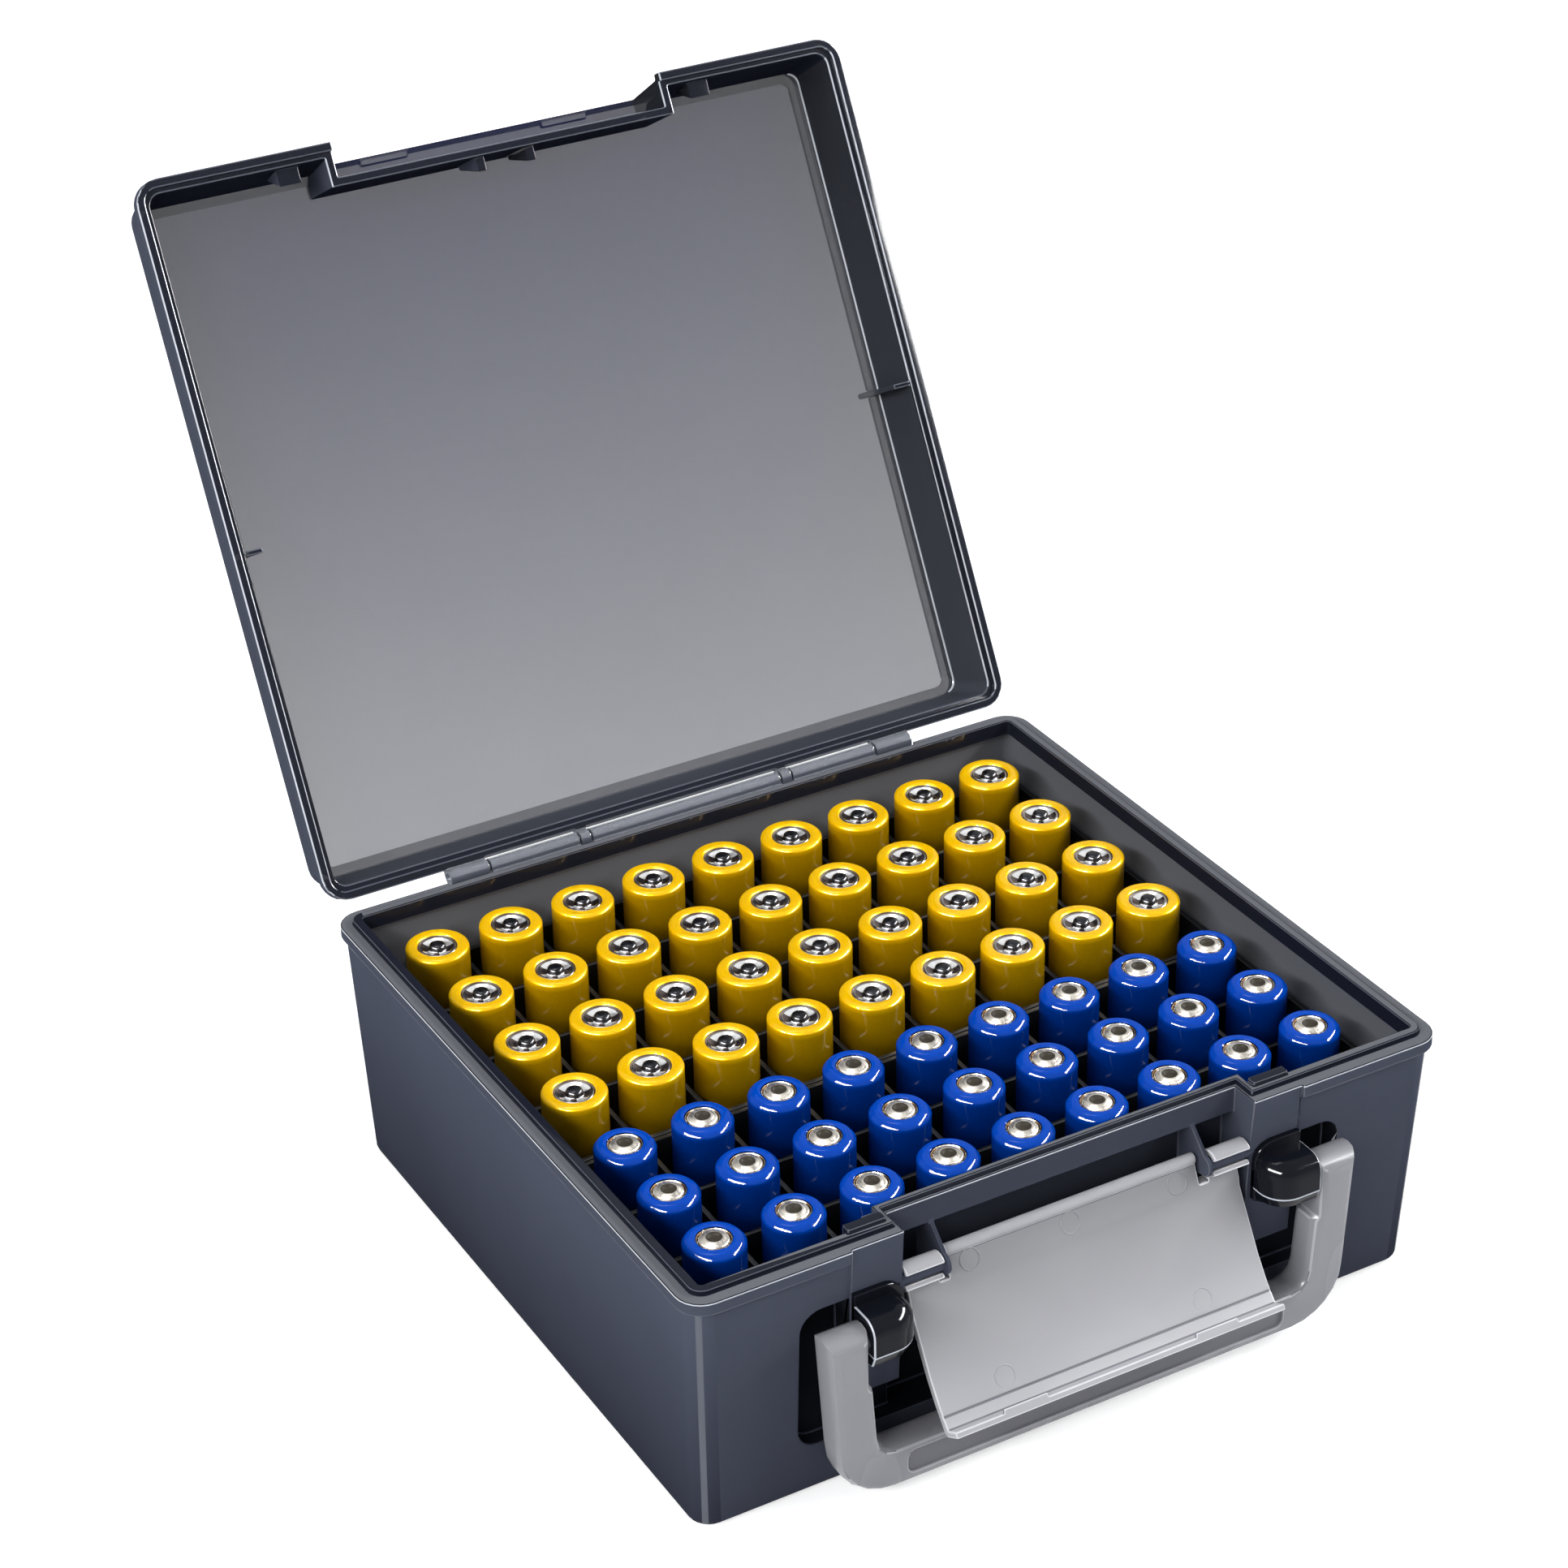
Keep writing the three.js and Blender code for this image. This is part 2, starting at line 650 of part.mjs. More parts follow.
// The blue tray's cross walls have a small opening at the foot for the strip under each column
function blueTray() {
  const body = tray(trayFront, traySplit - fitGap / 2, blueRowCount, blueRowPitch, blueBackRow);
  const openings = [];
  for (let column = 0; column < columnCount; column += 1) {
    const x = columnX(column);
    const half = linkWidth / 2 + fitGap;
    const bottom = trayBottom + trayFloor;
    const top = cellBottom + linkHeight + fitGap;
    const front = blueBackRow - blueGridDepth;
    openings.push(box(x - half, x + half, front, blueBackRow, bottom, top));
  }
  return cut(body, openings);
}

// A cell standing at the origin, its contact on top
function cell(diameter, contactDiameter) {
  const radius = diameter / 2;
  const rimHeight = cellLength - nubRise;
  const profile = [
    [0, 0],
    [radius, 0],
    [radius, rimHeight - cellShoulder],
    [radius - cellShoulder, rimHeight],
    [contactDiameter / 2, rimHeight],
    [contactDiameter / 2, cellLength],
    [0, cellLength],
  ];
  const points = profile.map(([x, z]) => new THREE.Vector2(x, z));
  const geometry = new THREE.LatheGeometry(points, cellSides);
  geometry.rotateX(Math.PI / 2);
  return solidOf(geometry);
}

function yellowCells() {
  const solid = cell(yellowCellDiameter, yellowNubDiameter);
  const meshes = [];
  for (let row = 0; row < yellowRowCount; row += 1) {
    for (let column = 0; column < columnCount; column += 1) {
      const mesh = named(`yellow_cell_r${row + 1}_c${column + 1}`, solid, yellowSkin);
      mesh.position.set(columnX(column), yellowBackRow - row * yellowRowPitch, cellBottom);
      meshes.push(mesh);
    }
  }
  return meshes;
}

// Each column of blue cells is one solid, its cells tied by a thin strip at the foot
function blueCells() {
  const single = cell(blueCellDiameter, blueButtonDiameter);
  const strip = box(-linkWidth / 2, linkWidth / 2, -blueGridDepth, 0, 0, linkHeight);
  const rows = [];
  for (let row = 0; row < blueRowCount; row += 1) {
    rows.push(single.translate([0, -row * blueRowPitch, 0]));
  }
  const solid = joined([strip, ...rows]);
  const meshes = [];
  for (let column = 0; column < columnCount; column += 1) {
    const mesh = named(`blue_cells_c${column + 1}`, solid, blueSkin);
    mesh.position.set(columnX(column), blueBackRow, cellBottom);
    meshes.push(mesh);
  }
  return meshes;
}

// Lid outline at a height above its rim
function lidOutline(height, inset) {
  const lean = (lidDraft * height) / lidHeight;
  const halfWidth = rimHalfWidth - lidStepIn - lean - inset;
  const halfDepth = rimHalfDepth - lidStepIn - lean - inset;
  const radius = Math.max(caseCorner - inset, caseCorner / 2);
  return roundedRectangle(halfWidth, halfDepth, radius);
}

function lidBlock(rim) {
  const edgeHeight = lidHeight - lidTopEdge;
  const levels = [
    { z: rim, points: lidOutline(0, 0) },
    { z: rim + edgeHeight, points: lidOutline(edgeHeight, 0) },
  ];
  for (let step = 1; step <= edgeSteps; step += 1) {
    const angle = (step / edgeSteps) * (Math.PI / 2);
    const inset = lidTopEdge * (1 - Math.cos(angle));
    const height = edgeHeight + lidTopEdge * Math.sin(angle);
    levels.push({ z: rim + height, points: lidOutline(height, inset) });
  }
  const flangePoints = lidOutline(0, -lidFlangeReach);
  const flange = stacked([
    { z: rim, points: flangePoints },
    { z: rim + lidFlangeHeight, points: flangePoints },
  ]);
  return stacked(levels).add(flange);
}

function lidHollow(rim, notchHalf, notchInside) {
  const ceiling = lidHeight - lidWall;
  const hollow = stacked([
    { z: rim - overrun, points: lidOutline(0, lidWall) },
    { z: rim + ceiling - lidWall, points: lidOutline(ceiling, lidWall) },
    { z: rim + ceiling, points: lidOutline(ceiling, 2 * lidWall) },
  ]);
  const half = notchHalf + lidWall;
  const low = rim - 2 * overrun;
  const liner = box(-half, half, -rimHalfDepth, notchInside, low, rim + lidHeight);
  return hollow.subtract(liner);
}

// Step inside the rim that takes the case's lip
function lipRebate(rim) {
  const points = roundedRectangle(
    rimHalfWidth + flangeReach - ledgeWidth + slideGap,
    rimHalfDepth + flangeReach - ledgeWidth + slideGap,
    caseCorner + flangeReach - ledgeWidth + slideGap,
  );
  return stacked([
    { z: rim - overrun, points },
    { z: rim + lipRise, points },
  ]);
}

// A wedge on the inside of the lid's front wall, deepest at its lower end
function wedge(x0, x1, wallY, reach, low, high) {
  const points = [
    [wallY - overrun, low],
    [wallY + reach, low],
    [wallY + reach * bossTopShare, high],
    [wallY - overrun, high],
  ];
  return alongX(points, x0, x1);
}

// Fin across the inside of the lid's right wall, from just above the rim to the top panel
function sideRib(rim) {
  const low = lipRise + fitGap;
  const high = lidHeight - lidWall + overrun;
  const lowX = lidInside(rimHalfWidth, low);
  const highX = lidInside(rimHalfWidth, high);
  const points = [
    [lowX + overrun, rim + low],
    [highX + overrun, rim + high],
    [highX - sideRibReach, rim + high],
    [lowX - sideRibReach, rim + low],
  ];
  const ribBack = hingeY - sideRibFromHinge + sideRibThickness / 2;
  return alongY(points, ribBack - sideRibThickness, ribBack);
}

// Lid, drawn closed with the hinge axis along X at the origin
function lid() {
  const rim = rimTop + fitGap;
  const top = rim + lidHeight;
  const notchHalf = recessHalf - lidNotchGap;
  const notchWall = lintelFace + lidNotchSetback;
  const notchInside = notchWall + lidWall;
  const ledgeFront = latchPinY + lidLedgeSetback;
  const front = -rimHalfDepth - 2 * overrun;
  const underLedge = box(-notchHalf, notchHalf, front, notchWall, rim - overrun, top - lidWall);
  const beforeLedge = box(-notchHalf, notchHalf, front, ledgeFront, rim - overrun, top + overrun);
  const slotBack = latchPinY + latchLipReach + fitGap;
  const slot = box(
    slotSpread - slotWidth / 2,
    slotSpread + slotWidth / 2,
    slotBack - slotDepth,
    slotBack,
    top - slotSink,
    top + overrun,
  );
  const shell = cut(lidBlock(rim), [
    lidHollow(rim, notchHalf, notchInside),
    lipRebate(rim),
    underLedge,
    beforeLedge,
    bothSides(slot),
  ]);
  const wallY = -lidInside(rimHalfDepth, clipBossLift);
  const bossLow = rim + clipBossLift;
  const sideBoss = wedge(
    clipBossSpread - clipBossWidth / 2,
    clipBossSpread + clipBossWidth / 2,
    wallY,
    clipBossReach,
    bossLow,
    bossLow + clipBossHeight,
  );
  const centreBoss = wedge(
    centreBossSpread - centreBossWidth / 2,
    centreBossSpread + centreBossWidth / 2,
    notchInside,
    centreBossReach,
    bossLow,
    bossLow + centreBossHeight,
  );
  const webFront = rimHalfDepth - lidStepIn - overrun;
  const webHigh = hingeZ + barrelRadius;
  const barrels = lidBarrels.map((span) => barrel(span, hingeY, hingeZ, webFront, rim, webHigh));
  const details = [sideRib(rim), sideBoss, centreBoss].map(bothSides);
  const whole = joined([shell, ...details, ...barrels]);
  const rooms = caseBarrels.map((span) => barrelRoom(span, hingeY, hingeZ));
  const finished = cut(whole, [...rooms, hingeBore(hingeY, hingeZ)]);
  return finished.translate([0, -hingeY, -hingeZ]);
}

// Side profile of the closed latch as [y, z] about the pin axis
function latchProfile() {
  const lipUnder = rimTop + fitGap + lidHeight + fitGap - latchPinZ;
  const crown = lipUnder + latchLipThickness;
  const faceIn = latchFaceOut - latchThickness;
  const outAndUp = [
    [latchFootOut, -latchSkirtDrop],
    [latchShoulderOut, latchShoulderUp],
    [latchFaceOut, latchFaceUp],
    [latchFaceOut, latchGrooveUp - latchGrooveWidth],
    [latchFaceOut - latchGrooveDepth, latchGrooveUp - latchGrooveWidth / 2],
    [latchFaceOut - latchGrooveDepth, latchGrooveUp + latchGrooveWidth / 2],
    [latchFaceOut, latchGrooveUp + latchGrooveWidth],
    [latchFaceOut, latchBendUp],
    [latchBrowOut, lipUnder - latchBrowDrop],
    [latchCrownOut, crown - latchCrownRound],
    [latchCrownOut - latchCrownRound, crown],
    [-latchLipReach, crown],
    [-latchLipReach, lipUnder],
    [latchCrownOut - latchThickness, lipUnder],
    [latchBrowOut - latchThickness, lipUnder - latchBrowDrop],
    [faceIn, latchBendUp],
    [faceIn, latchFaceUp],
    [latchShoulderOut - latchThickness, latchShoulderUp],
    [latchFootOut - latchThickness, -latchSkirtDrop],
  ];
  return { lipUnder, crown, points: outAndUp.map(([out, up]) => [-out, up]) };
}

// Clip that grips a latch pin: a ring with a mouth
function latchClip() {
  const x0 = recessHalf - latchPinLength + ribThickness + clipSideGap;
  const x1 = x0 + clipWidth;
  const mouth = [[0, 0]];
  const from = clipMouthTilt - clipMouthAngle / 2;
  mouth.push(...arc(0, 0, 2 * clipOuterRadius, from, from + clipMouthAngle));
  const ring = rod(clipOuterRadius, x0, x1, 0, 0);
  return { x0, x1, ring, mouth: alongX(mouth, x0 - overrun, x1 + overrun) };
}

// Raised triangle that points up to the lid
function arrow() {
  const base = (latchGrooveUp + latchBendUp) / 2 - arrowHeight / 2;
  const triangle = (inset) => [
    [-arrowWidth / 2 + inset, base + inset / 2],
    [arrowWidth / 2 - inset, base + inset / 2],
    [0, base + arrowHeight - 2 * inset],
  ];
  const outer = alongY(triangle(0), -latchFaceOut - arrowRise, -latchFaceOut + latchGrooveDepth);
  const inner = alongY(triangle(arrowLine), -latchFaceOut - overrun, -latchFaceOut + overrun);
  return outer.subtract(inner);
}

// Latch, drawn closed with the pin axis along X at the origin
function latch() {
  const { lipUnder, crown, points } = latchProfile();
  const half = recessHalf - latchSideGap;
  const plate = alongX(points, -half, half);
  const { x0, x1, ring, mouth } = latchClip();
  const ribInner = recessHalf - latchPinLength;
  const beadEnd = ribInner - clipSideGap - fitGap;
  const beadOut = latchFootOut - beadRadius;
  const bead = rod(beadRadius, -beadEnd, beadEnd, -beadOut, beadRadius / 2 - latchSkirtDrop);
  const pinRoom = rod(latchPinRadius + fitGap, x0 - overrun, x1 + overrun, 0, 0);
  const slotPart = rod(ribSlotRadius, beadEnd, x0, 0, 0);
  const toothBack = latchLipReach;
  const tooth = box(
    slotSpread - toothWidth / 2,
    slotSpread + toothWidth / 2,
    toothBack - toothThickness,
    toothBack,
    lipUnder - toothDrop,
    lipUnder + overrun / 2,
  );
  const tabOutline = [
    [-tabOut, crown - latchCrownRound - tabRise],
    [-tabOut + tabThickness, crown - latchLipThickness],
    [-tabOut + 2 * tabThickness, crown],
    [-tabOut + tabThickness, crown + tabRise],
    [-tabOut, crown + tabRise],
  ];
  const tab = alongX(tabOutline.reverse(), -tabWidth / 2, tabWidth / 2);
  const body = joined([plate, bead, bothSides(ring), bothSides(tooth), tab, arrow()]);
  return cut(body, [bothSides(mouth), bothSides(pinRoom), bothSides(slotPart)]);
}

// Distance from the handle's axis to the furthest edge of the open latch
function openLatchReach() {
  const { crown } = latchProfile();
  const angle = THREE.MathUtils.degToRad(latchOpenAngle);
  const y = latchPinY - tabOut * Math.cos(angle) - (crown + tabRise) * Math.sin(angle);
  const z = latchPinZ - tabOut * Math.sin(angle) + (crown + tabRise) * Math.cos(angle);
  return Math.hypot(y - pivotY, z - pivotZ);
}

// Right half of the handle's outline as [x, z], from the inner edge of the arm's top round to the outer
function handleHalf(gripTop) {
  const armOuter = armInner + armWidth;
  const gripBottom = gripTop - gripHeight;
  const armTop = pivotZ + barThickness / 2;
  const notchZ = pivotZ - armNotchDrop;
  const innerX = armInner - armLean;
  const outerX = armOuter - armLean;
  return [
    ...arc(outerX - gripOuterRadius, gripBottom + gripOuterRadius, gripOuterRadius, -90, 0),
    [armOuter, armTop],
    [armInner, armTop],
    [armInner, notchZ],
    [armInner - armNotch, notchZ - armNotch],
    ...arc(innerX - gripInnerRadius, gripTop + gripInnerRadius, gripInnerRadius, 0, -90, cornerSteps / 2),
  ];
}

function handle() {
  const gripTop = pivotZ - openLatchReach() - gripClearance;
  const right = handleHalf(gripTop);
  const left = right.map(([x, z]) => [-x, z]).reverse();
  const bar = alongY([...right, ...left], pivotY - barThickness / 2, pivotY + barThickness / 2, barEdge);
  const reach = pillarOuter + armWidth + overrun;
  const below = box(-reach, reach, pivotY - barThickness, pivotY + barThickness, 0, pivotZ);
  const round = rod(barThickness / 2, -reach, reach, pivotY, pivotZ);
  const pinInner = armInner - handlePinLength;
  const pin = rod(handlePinRadius, pinInner, armInner + armWidth / 2, pivotY, pivotZ);
  const panelMiddle = gripTop - gripPanelDrop - gripPanelHeight / 2;
  const panelPoints = roundedRectangle(gripPanelWidth / 2, gripPanelHeight / 2, gripPanelCorner);
  const placed = panelPoints.map(([x, z]) => [x, z + panelMiddle]);
  const barFront = pivotY - barThickness / 2;
  const panel = alongY(placed, barFront - overrun, barFront + gripPanelDepth);
  return bar.intersect(below.add(round)).add(bothSides(pin)).subtract(panel);
}

// Bracket on a pillar that takes the handle's pin from the side, for the right-hand pillar
function bracket() {
  const inner = recessHalf + bracketSideGap;
  const outer = pillarOuter - bracketOuterGap;
  const top = pivotZ + bracketRise;
  const bottom = pivotZ - bracketFall;
  const back = (z) => frontWall(z) - pillarProud - fitGap;
  const frontY = pivotY - bracketFront;
  const side = [
    [back(bottom), bottom],
    [frontY + bracketEdge, pivotZ - bracketFrontFall - bracketEdge],
    [frontY, pivotZ - bracketFrontFall],
    [frontY, pivotZ + bracketEdge],
    [frontY + bracketEdge, pivotZ + bracketShoulder],
    [pivotY - bracketBrowSpan / 2, top - bracketBrow],
    [pivotY + bracketBrowSpan / 2, top],
    [back(top), top],
  ];
  const domeX = inner + bracketDome;
  const domeY = frontY + bracketDome;
  const above = [
    ...arc(domeX, domeY, bracketDome, 180, 270),
    [outer, frontY],
    [outer, back(bottom)],
    [inner, back(bottom)],
  ];
  const plan = stacked([
    { z: bottom, points: above },
    { z: top, points: above },
  ]);
  const hood = alongX(side, inner, outer).intersect(plan);
  const boreInner = armInner - handlePinLength - bracketBoreEnd;
  const bore = rod(handlePinRadius + fitGap, boreInner, outer + overrun, pivotY, pivotZ);
  const { x0, x1, z0, z1 } = pegSpan();
  const pegBack = frontWall(z0) - pillarProud + caseWall + pegHook;
  const pegStart = pivotY + handlePinRadius + 2 * fitGap;
  const peg = box(x0, x1, pegStart, pegBack, z0, z1);
  return cut(joined([hood, peg]), [bore]);
}

const lidMesh = named('lid', lid(), smokeLid);
lidMesh.position.set(0, hingeY, hingeZ);
lidMesh.rotation.x = THREE.MathUtils.degToRad(-lidOpenAngle);

const latchMesh = named('latch', latch(), latchGrey);
latchMesh.position.set(0, latchPinY, latchPinZ);
latchMesh.rotation.x = THREE.MathUtils.degToRad(latchOpenAngle);

const batteryBox = new THREE.Group();
batteryBox.name = 'battery_box';
batteryBox.add(named('case_body', caseBody(), smokePlastic));
batteryBox.add(named('hinge_pin', hingePin(), steel));
batteryBox.add(named('yellow_cell_tray', yellowTray(), blackTray));
batteryBox.add(named('blue_cell_tray', blueTray(), blackTray));
batteryBox.add(named('handle_bracket_right', bracket(), blackGloss));
batteryBox.add(named('handle_bracket_left', bracket().mirror([1, 0, 0]), blackGloss));
batteryBox.add(named('handle', handle(), handleGrey));
batteryBox.add(latchMesh);
batteryBox.add(lidMesh);
batteryBox.add(...yellowCells());
batteryBox.add(...blueCells());

export default batteryBox;
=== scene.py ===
"""Battery box with an open see-through lid, a hanging latch and handle, and upright cells.

Every size is in metres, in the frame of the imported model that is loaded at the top.
"""

import json
import math

import bmesh
import bpy
from bpy.props import FloatProperty, FloatVectorProperty, IntProperty, PointerProperty
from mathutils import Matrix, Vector


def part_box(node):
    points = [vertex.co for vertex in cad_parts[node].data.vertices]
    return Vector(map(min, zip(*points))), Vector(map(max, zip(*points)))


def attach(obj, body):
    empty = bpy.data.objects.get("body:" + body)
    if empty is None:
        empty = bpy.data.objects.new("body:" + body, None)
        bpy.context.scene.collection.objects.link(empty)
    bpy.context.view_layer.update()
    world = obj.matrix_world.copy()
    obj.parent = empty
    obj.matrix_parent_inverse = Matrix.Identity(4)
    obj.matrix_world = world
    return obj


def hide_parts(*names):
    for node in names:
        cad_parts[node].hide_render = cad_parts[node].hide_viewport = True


bl_info = {
    "name": "Battery Box",
    "version": (1, 0, 0),
    "blender": (4, 5, 0),
    "location": "View3D > Sidebar > Battery Box",
    "description": "Builds a battery box with its lid, latch, handle, trays and cells",
    "category": "Object",
}

MM = 0.001

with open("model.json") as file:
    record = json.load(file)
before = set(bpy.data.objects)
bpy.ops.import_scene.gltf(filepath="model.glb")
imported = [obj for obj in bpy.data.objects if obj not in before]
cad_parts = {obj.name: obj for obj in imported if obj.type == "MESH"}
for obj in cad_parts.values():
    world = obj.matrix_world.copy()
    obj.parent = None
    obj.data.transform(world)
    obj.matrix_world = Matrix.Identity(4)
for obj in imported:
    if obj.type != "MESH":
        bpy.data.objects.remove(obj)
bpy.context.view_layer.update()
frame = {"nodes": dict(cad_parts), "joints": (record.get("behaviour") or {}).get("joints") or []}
YELLOW_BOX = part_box("yellow_cell_r1_c1")
BLUE_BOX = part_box("blue_cells_c1")
YELLOW_RADIUS = (YELLOW_BOX[1][1] - YELLOW_BOX[0][1]) / 2
BLUE_RADIUS = (BLUE_BOX[1][0] - BLUE_BOX[0][0]) / 2
LID_HINGE = next(j for j in frame["joints"] if j["name"] == "lid_hinge")
LATCH_HINGE = next(j for j in frame["joints"] if j["name"] == "latch_swing")
HANDLE_HINGE = next(j for j in frame["joints"] if j["name"] == "handle_swing")
CAMERA_TURN = math.radians(-121)  # direction towards the camera, seen from above, round which the painted reflections and notch shades on the cell ends are laid
CONVEX, HOLLOW = 1, 2  # slots that mark the faces which round an edge or a hollow corner
HOOD_CREASE = 38.2 * MM  # height of the crease round a hood
PLASTIC_IOR = 1.5
PLASTIC_GRAIN = 0.002 * MM


def linear(red, green, blue):
    """A screen colour of 0 to 255 as the linear colour that shaders take."""
    return tuple(
        c / 12.92 if c <= 0.04045 else ((c + 0.055) / 1.055) ** 2.4
        for c in (red / 255, green / 255, blue / 255)
    )


def colour_property(name, description, rgb):
    return FloatVectorProperty(
        name=name, description=description, subtype="COLOR", size=3, min=0, max=1, default=linear(*rgb)
    )


def length_property(name, description, default):
    return FloatProperty(
        name=name, description=description, unit="LENGTH", min=0, precision=5, default=default
    )


def factor_property(name, description, default):
    return FloatProperty(
        name=name, description=description, subtype="FACTOR", min=0, max=1, default=default
    )


class SmokeSettings(bpy.types.PropertyGroup):
    """The see-through mouldings: the case and the lid."""

    edge: length_property("Edge radius", "Rounding of the moulded edges", 0.3 * MM)
    wall: colour_property("Wall colour", "Front and back of the case", (71, 75, 88))
    side: colour_property("Side colour", "Left and right side of the case", (70, 74, 88))
    rim: colour_property("Rim colour", "Rims of the case and the lid", (28, 31, 42))
    inside: colour_property("Inside colour", "Inside of the case, lit through its walls", (104, 106, 112))
    panel: colour_property("Panel colour", "Lid panel", (33, 39, 70))
    panel_opacity: factor_property("Panel opacity", "How much one face of the lid panel hides", 0.6)
    band: colour_property("Band colour", "Sloping band round the lid panel", (64, 66, 73))
    lid_wall: colour_property("Lid wall colour", "Inner walls of the lid", (56, 59, 66))
    wall_opacity: factor_property("Lid wall opacity", "How much one face of the lid's walls hides", 0.9)
    barrel: colour_property("Barrel colour", "Hinge barrels, with the light behind them", (176, 180, 190))
    glint: colour_property("Bright edge colour", "Edges that catch the light", (196, 200, 208))
    # Painted faint highlight on rim edges and corner stripes, and painted shade under the hinge barrels.
    faint: colour_property("Edge colour", "The other edges of the rims", (88, 92, 102))


class GreySettings(bpy.types.PropertyGroup):
    """The light grey mouldings: the latch and the handle."""

    edge: length_property("Edge radius", "Rounding of the moulded edges", 0.3 * MM)
    latch: colour_property("Latch colour", "Latch plate", (172, 172, 176))
    # Painted highlight of the latch's rounded edges.
    light: colour_property("Latch edge colour", "Rounded edges of the latch", (216, 216, 220))
    # Painted shade of the latch's hollow corners.
    crease: colour_property("Latch crease colour", "Hollow corners of the latch", (112, 112, 118))
    # Painted highlight of the handle's rounded edges.
    handle_edge: colour_property("Handle edge colour", "Rounded edges of the handle", (170, 170, 175))
    handle: colour_property("Handle colour", "Handle", (140, 140, 145))
    # Also the painted shade of the handle's hollow corners.
    panel: colour_property("Grip panel colour", "Recessed panel of the grip", (112, 112, 118))
    ring: length_property("Ejector mark radius", "Round marks on the latch", 2.3 * MM)


class BlackSettings(bpy.types.PropertyGroup):
    """The black mouldings: the brackets and the trays."""

    edge: length_property("Edge radius", "Rounding of the bracket edges", 0.3 * MM)
    dome: length_property("Dome radius", "Rounding of the hood's top and inner corner", 6 * MM)
    bracket: colour_property("Bracket colour", "Handle brackets", (18, 20, 27))
    # Painted highlight along a hood's crease and outer edges.
    crease: colour_property("Crease colour", "Bright crease round a hood", (186, 190, 200))
    tray: colour_property("Tray colour", "Cell trays", (13, 14, 17))


class CellSettings(bpy.types.PropertyGroup):
    """The yellow and the blue cells."""

    sides: IntProperty(name="Sides", description="Segments round a cell", default=48, min=12, max=96)
    yellow: colour_property("Yellow", "Sleeve of the yellow cells", (240, 187, 2))
    blue: colour_property("Blue", "Sleeve of the blue cells", (0, 68, 178))
    metal: colour_property("Contact colour", "Metal of the contacts", (222, 221, 220))


class StageSettings(bpy.types.PropertyGroup):
    """Floor, lamps and camera."""

    lens: FloatProperty(
        name="Focal length", description="Lens of the camera in millimetres", default=88.506, min=10
    )
    key: FloatProperty(name="Key lamp", description="Power of the main lamp", default=14, unit="POWER")
    fill: FloatProperty(name="Side lamp", description="Power of the side lamp", default=14, unit="POWER")
    gloss: FloatProperty(
        name="Gloss lamps", description="Power of the mirrored lamps", default=125, unit="POWER"
    )
    back: FloatProperty(name="Back lamp", description="Power of the back lamp", default=6, unit="POWER")


class BatteryBoxSettings(bpy.types.PropertyGroup):
    """All the settings of the battery box."""

    smoke: PointerProperty(type=SmokeSettings)
    grey: PointerProperty(type=GreySettings)
    black: PointerProperty(type=BlackSettings)
    cells: PointerProperty(type=CellSettings)
    stage: PointerProperty(type=StageSettings)


def deselect():
    bpy.ops.object.select_all(action="DESELECT")


def select_only(piece):
    deselect()
    piece.select_set(True)
    bpy.context.view_layer.objects.active = piece


def edit(piece, mode):
    """Edit mode on one piece, with nothing selected and the selection of vertices, edges or faces."""
    select_only(piece)
    bpy.ops.object.mode_set(mode="EDIT")
    bpy.ops.mesh.select_mode(type=mode)
    bpy.ops.mesh.select_all(action="DESELECT")
    return bmesh.from_edit_mesh(piece.data)


def edit_again(piece, mode):
    """Leaves edit mode and comes back to it, so that new faces and edges can be picked."""
    leave_edit(piece)
    return edit(piece, mode)


def leave_edit(piece):
    bmesh.update_edit_mesh(piece.data)
    bpy.ops.object.mode_set(mode="OBJECT")


def pick_faces(mesh, piece, wanted):
    """Selects the faces that wanted(centre, normal) accepts."""
    for face in mesh.faces:
        face.select_set(wanted(face.calc_center_median(), face.normal))
    mesh.select_flush_mode()
    bmesh.update_edit_mesh(piece.data)


def copy_node(node, name, whole_faces=True):
    """A CAD node's shape as a new piece, with its loose triangles joined and its flat faces whole."""
    deselect()
    piece = bpy.data.objects.new(name, frame["nodes"][node].data.copy())
    piece.data.name = name
    bpy.context.scene.collection.objects.link(piece)
    piece.data.materials.clear()
    edit(piece, "FACE")
    bpy.ops.mesh.select_all(action="SELECT")
    bpy.ops.mesh.remove_doubles(threshold=0.002 * MM)
    bpy.ops.mesh.customdata_custom_splitnormals_clear()
    if whole_faces:
        bpy.ops.mesh.dissolve_limited(angle_limit=math.radians(0.5))
    else:
        bpy.ops.mesh.tris_convert_to_quads(
            face_threshold=math.radians(1), shape_threshold=math.radians(1)
        )
    leave_edit(piece)
    return piece


def round_edges(piece, width, segments=2, angle=32):
    """Rounds the sharp edges, marks the rounded faces and shades the piece smooth between them."""
    mark_slots(piece)
    select_only(piece)
    bpy.ops.object.modifier_add(type="BEVEL")
    bevel = piece.modifiers[-1]
    bevel.width = width
    bevel.segments = segments
    bevel.limit_method = "ANGLE"
    bevel.angle_limit = math.radians(angle)
    bevel.miter_outer = "MITER_ARC"
    bevel.use_clamp_overlap = False
    bevel.material = CONVEX
    bpy.ops.object.modifier_apply(modifier=bevel.name)
    mark_hollows(piece)
    smooth(piece, angle)


def mark_slots(piece):
    """Empty slots for plain faces, rounded edges and rounded hollows, which assign() reads later."""
    while len(piece.data.materials) < HOLLOW + 1:
        piece.data.materials.append(None)


def mark_hollows(piece):
    """Of the rounded faces, marks the ones that round a hollow corner."""
    mesh = edit(piece, "FACE")
    for face in mesh.faces:
        if face.material_index == CONVEX:
            turn = sum(line.calc_face_angle_signed(0) for line in face.edges)
            face.material_index = CONVEX if turn >= 0 else HOLLOW
    leave_edit(piece)


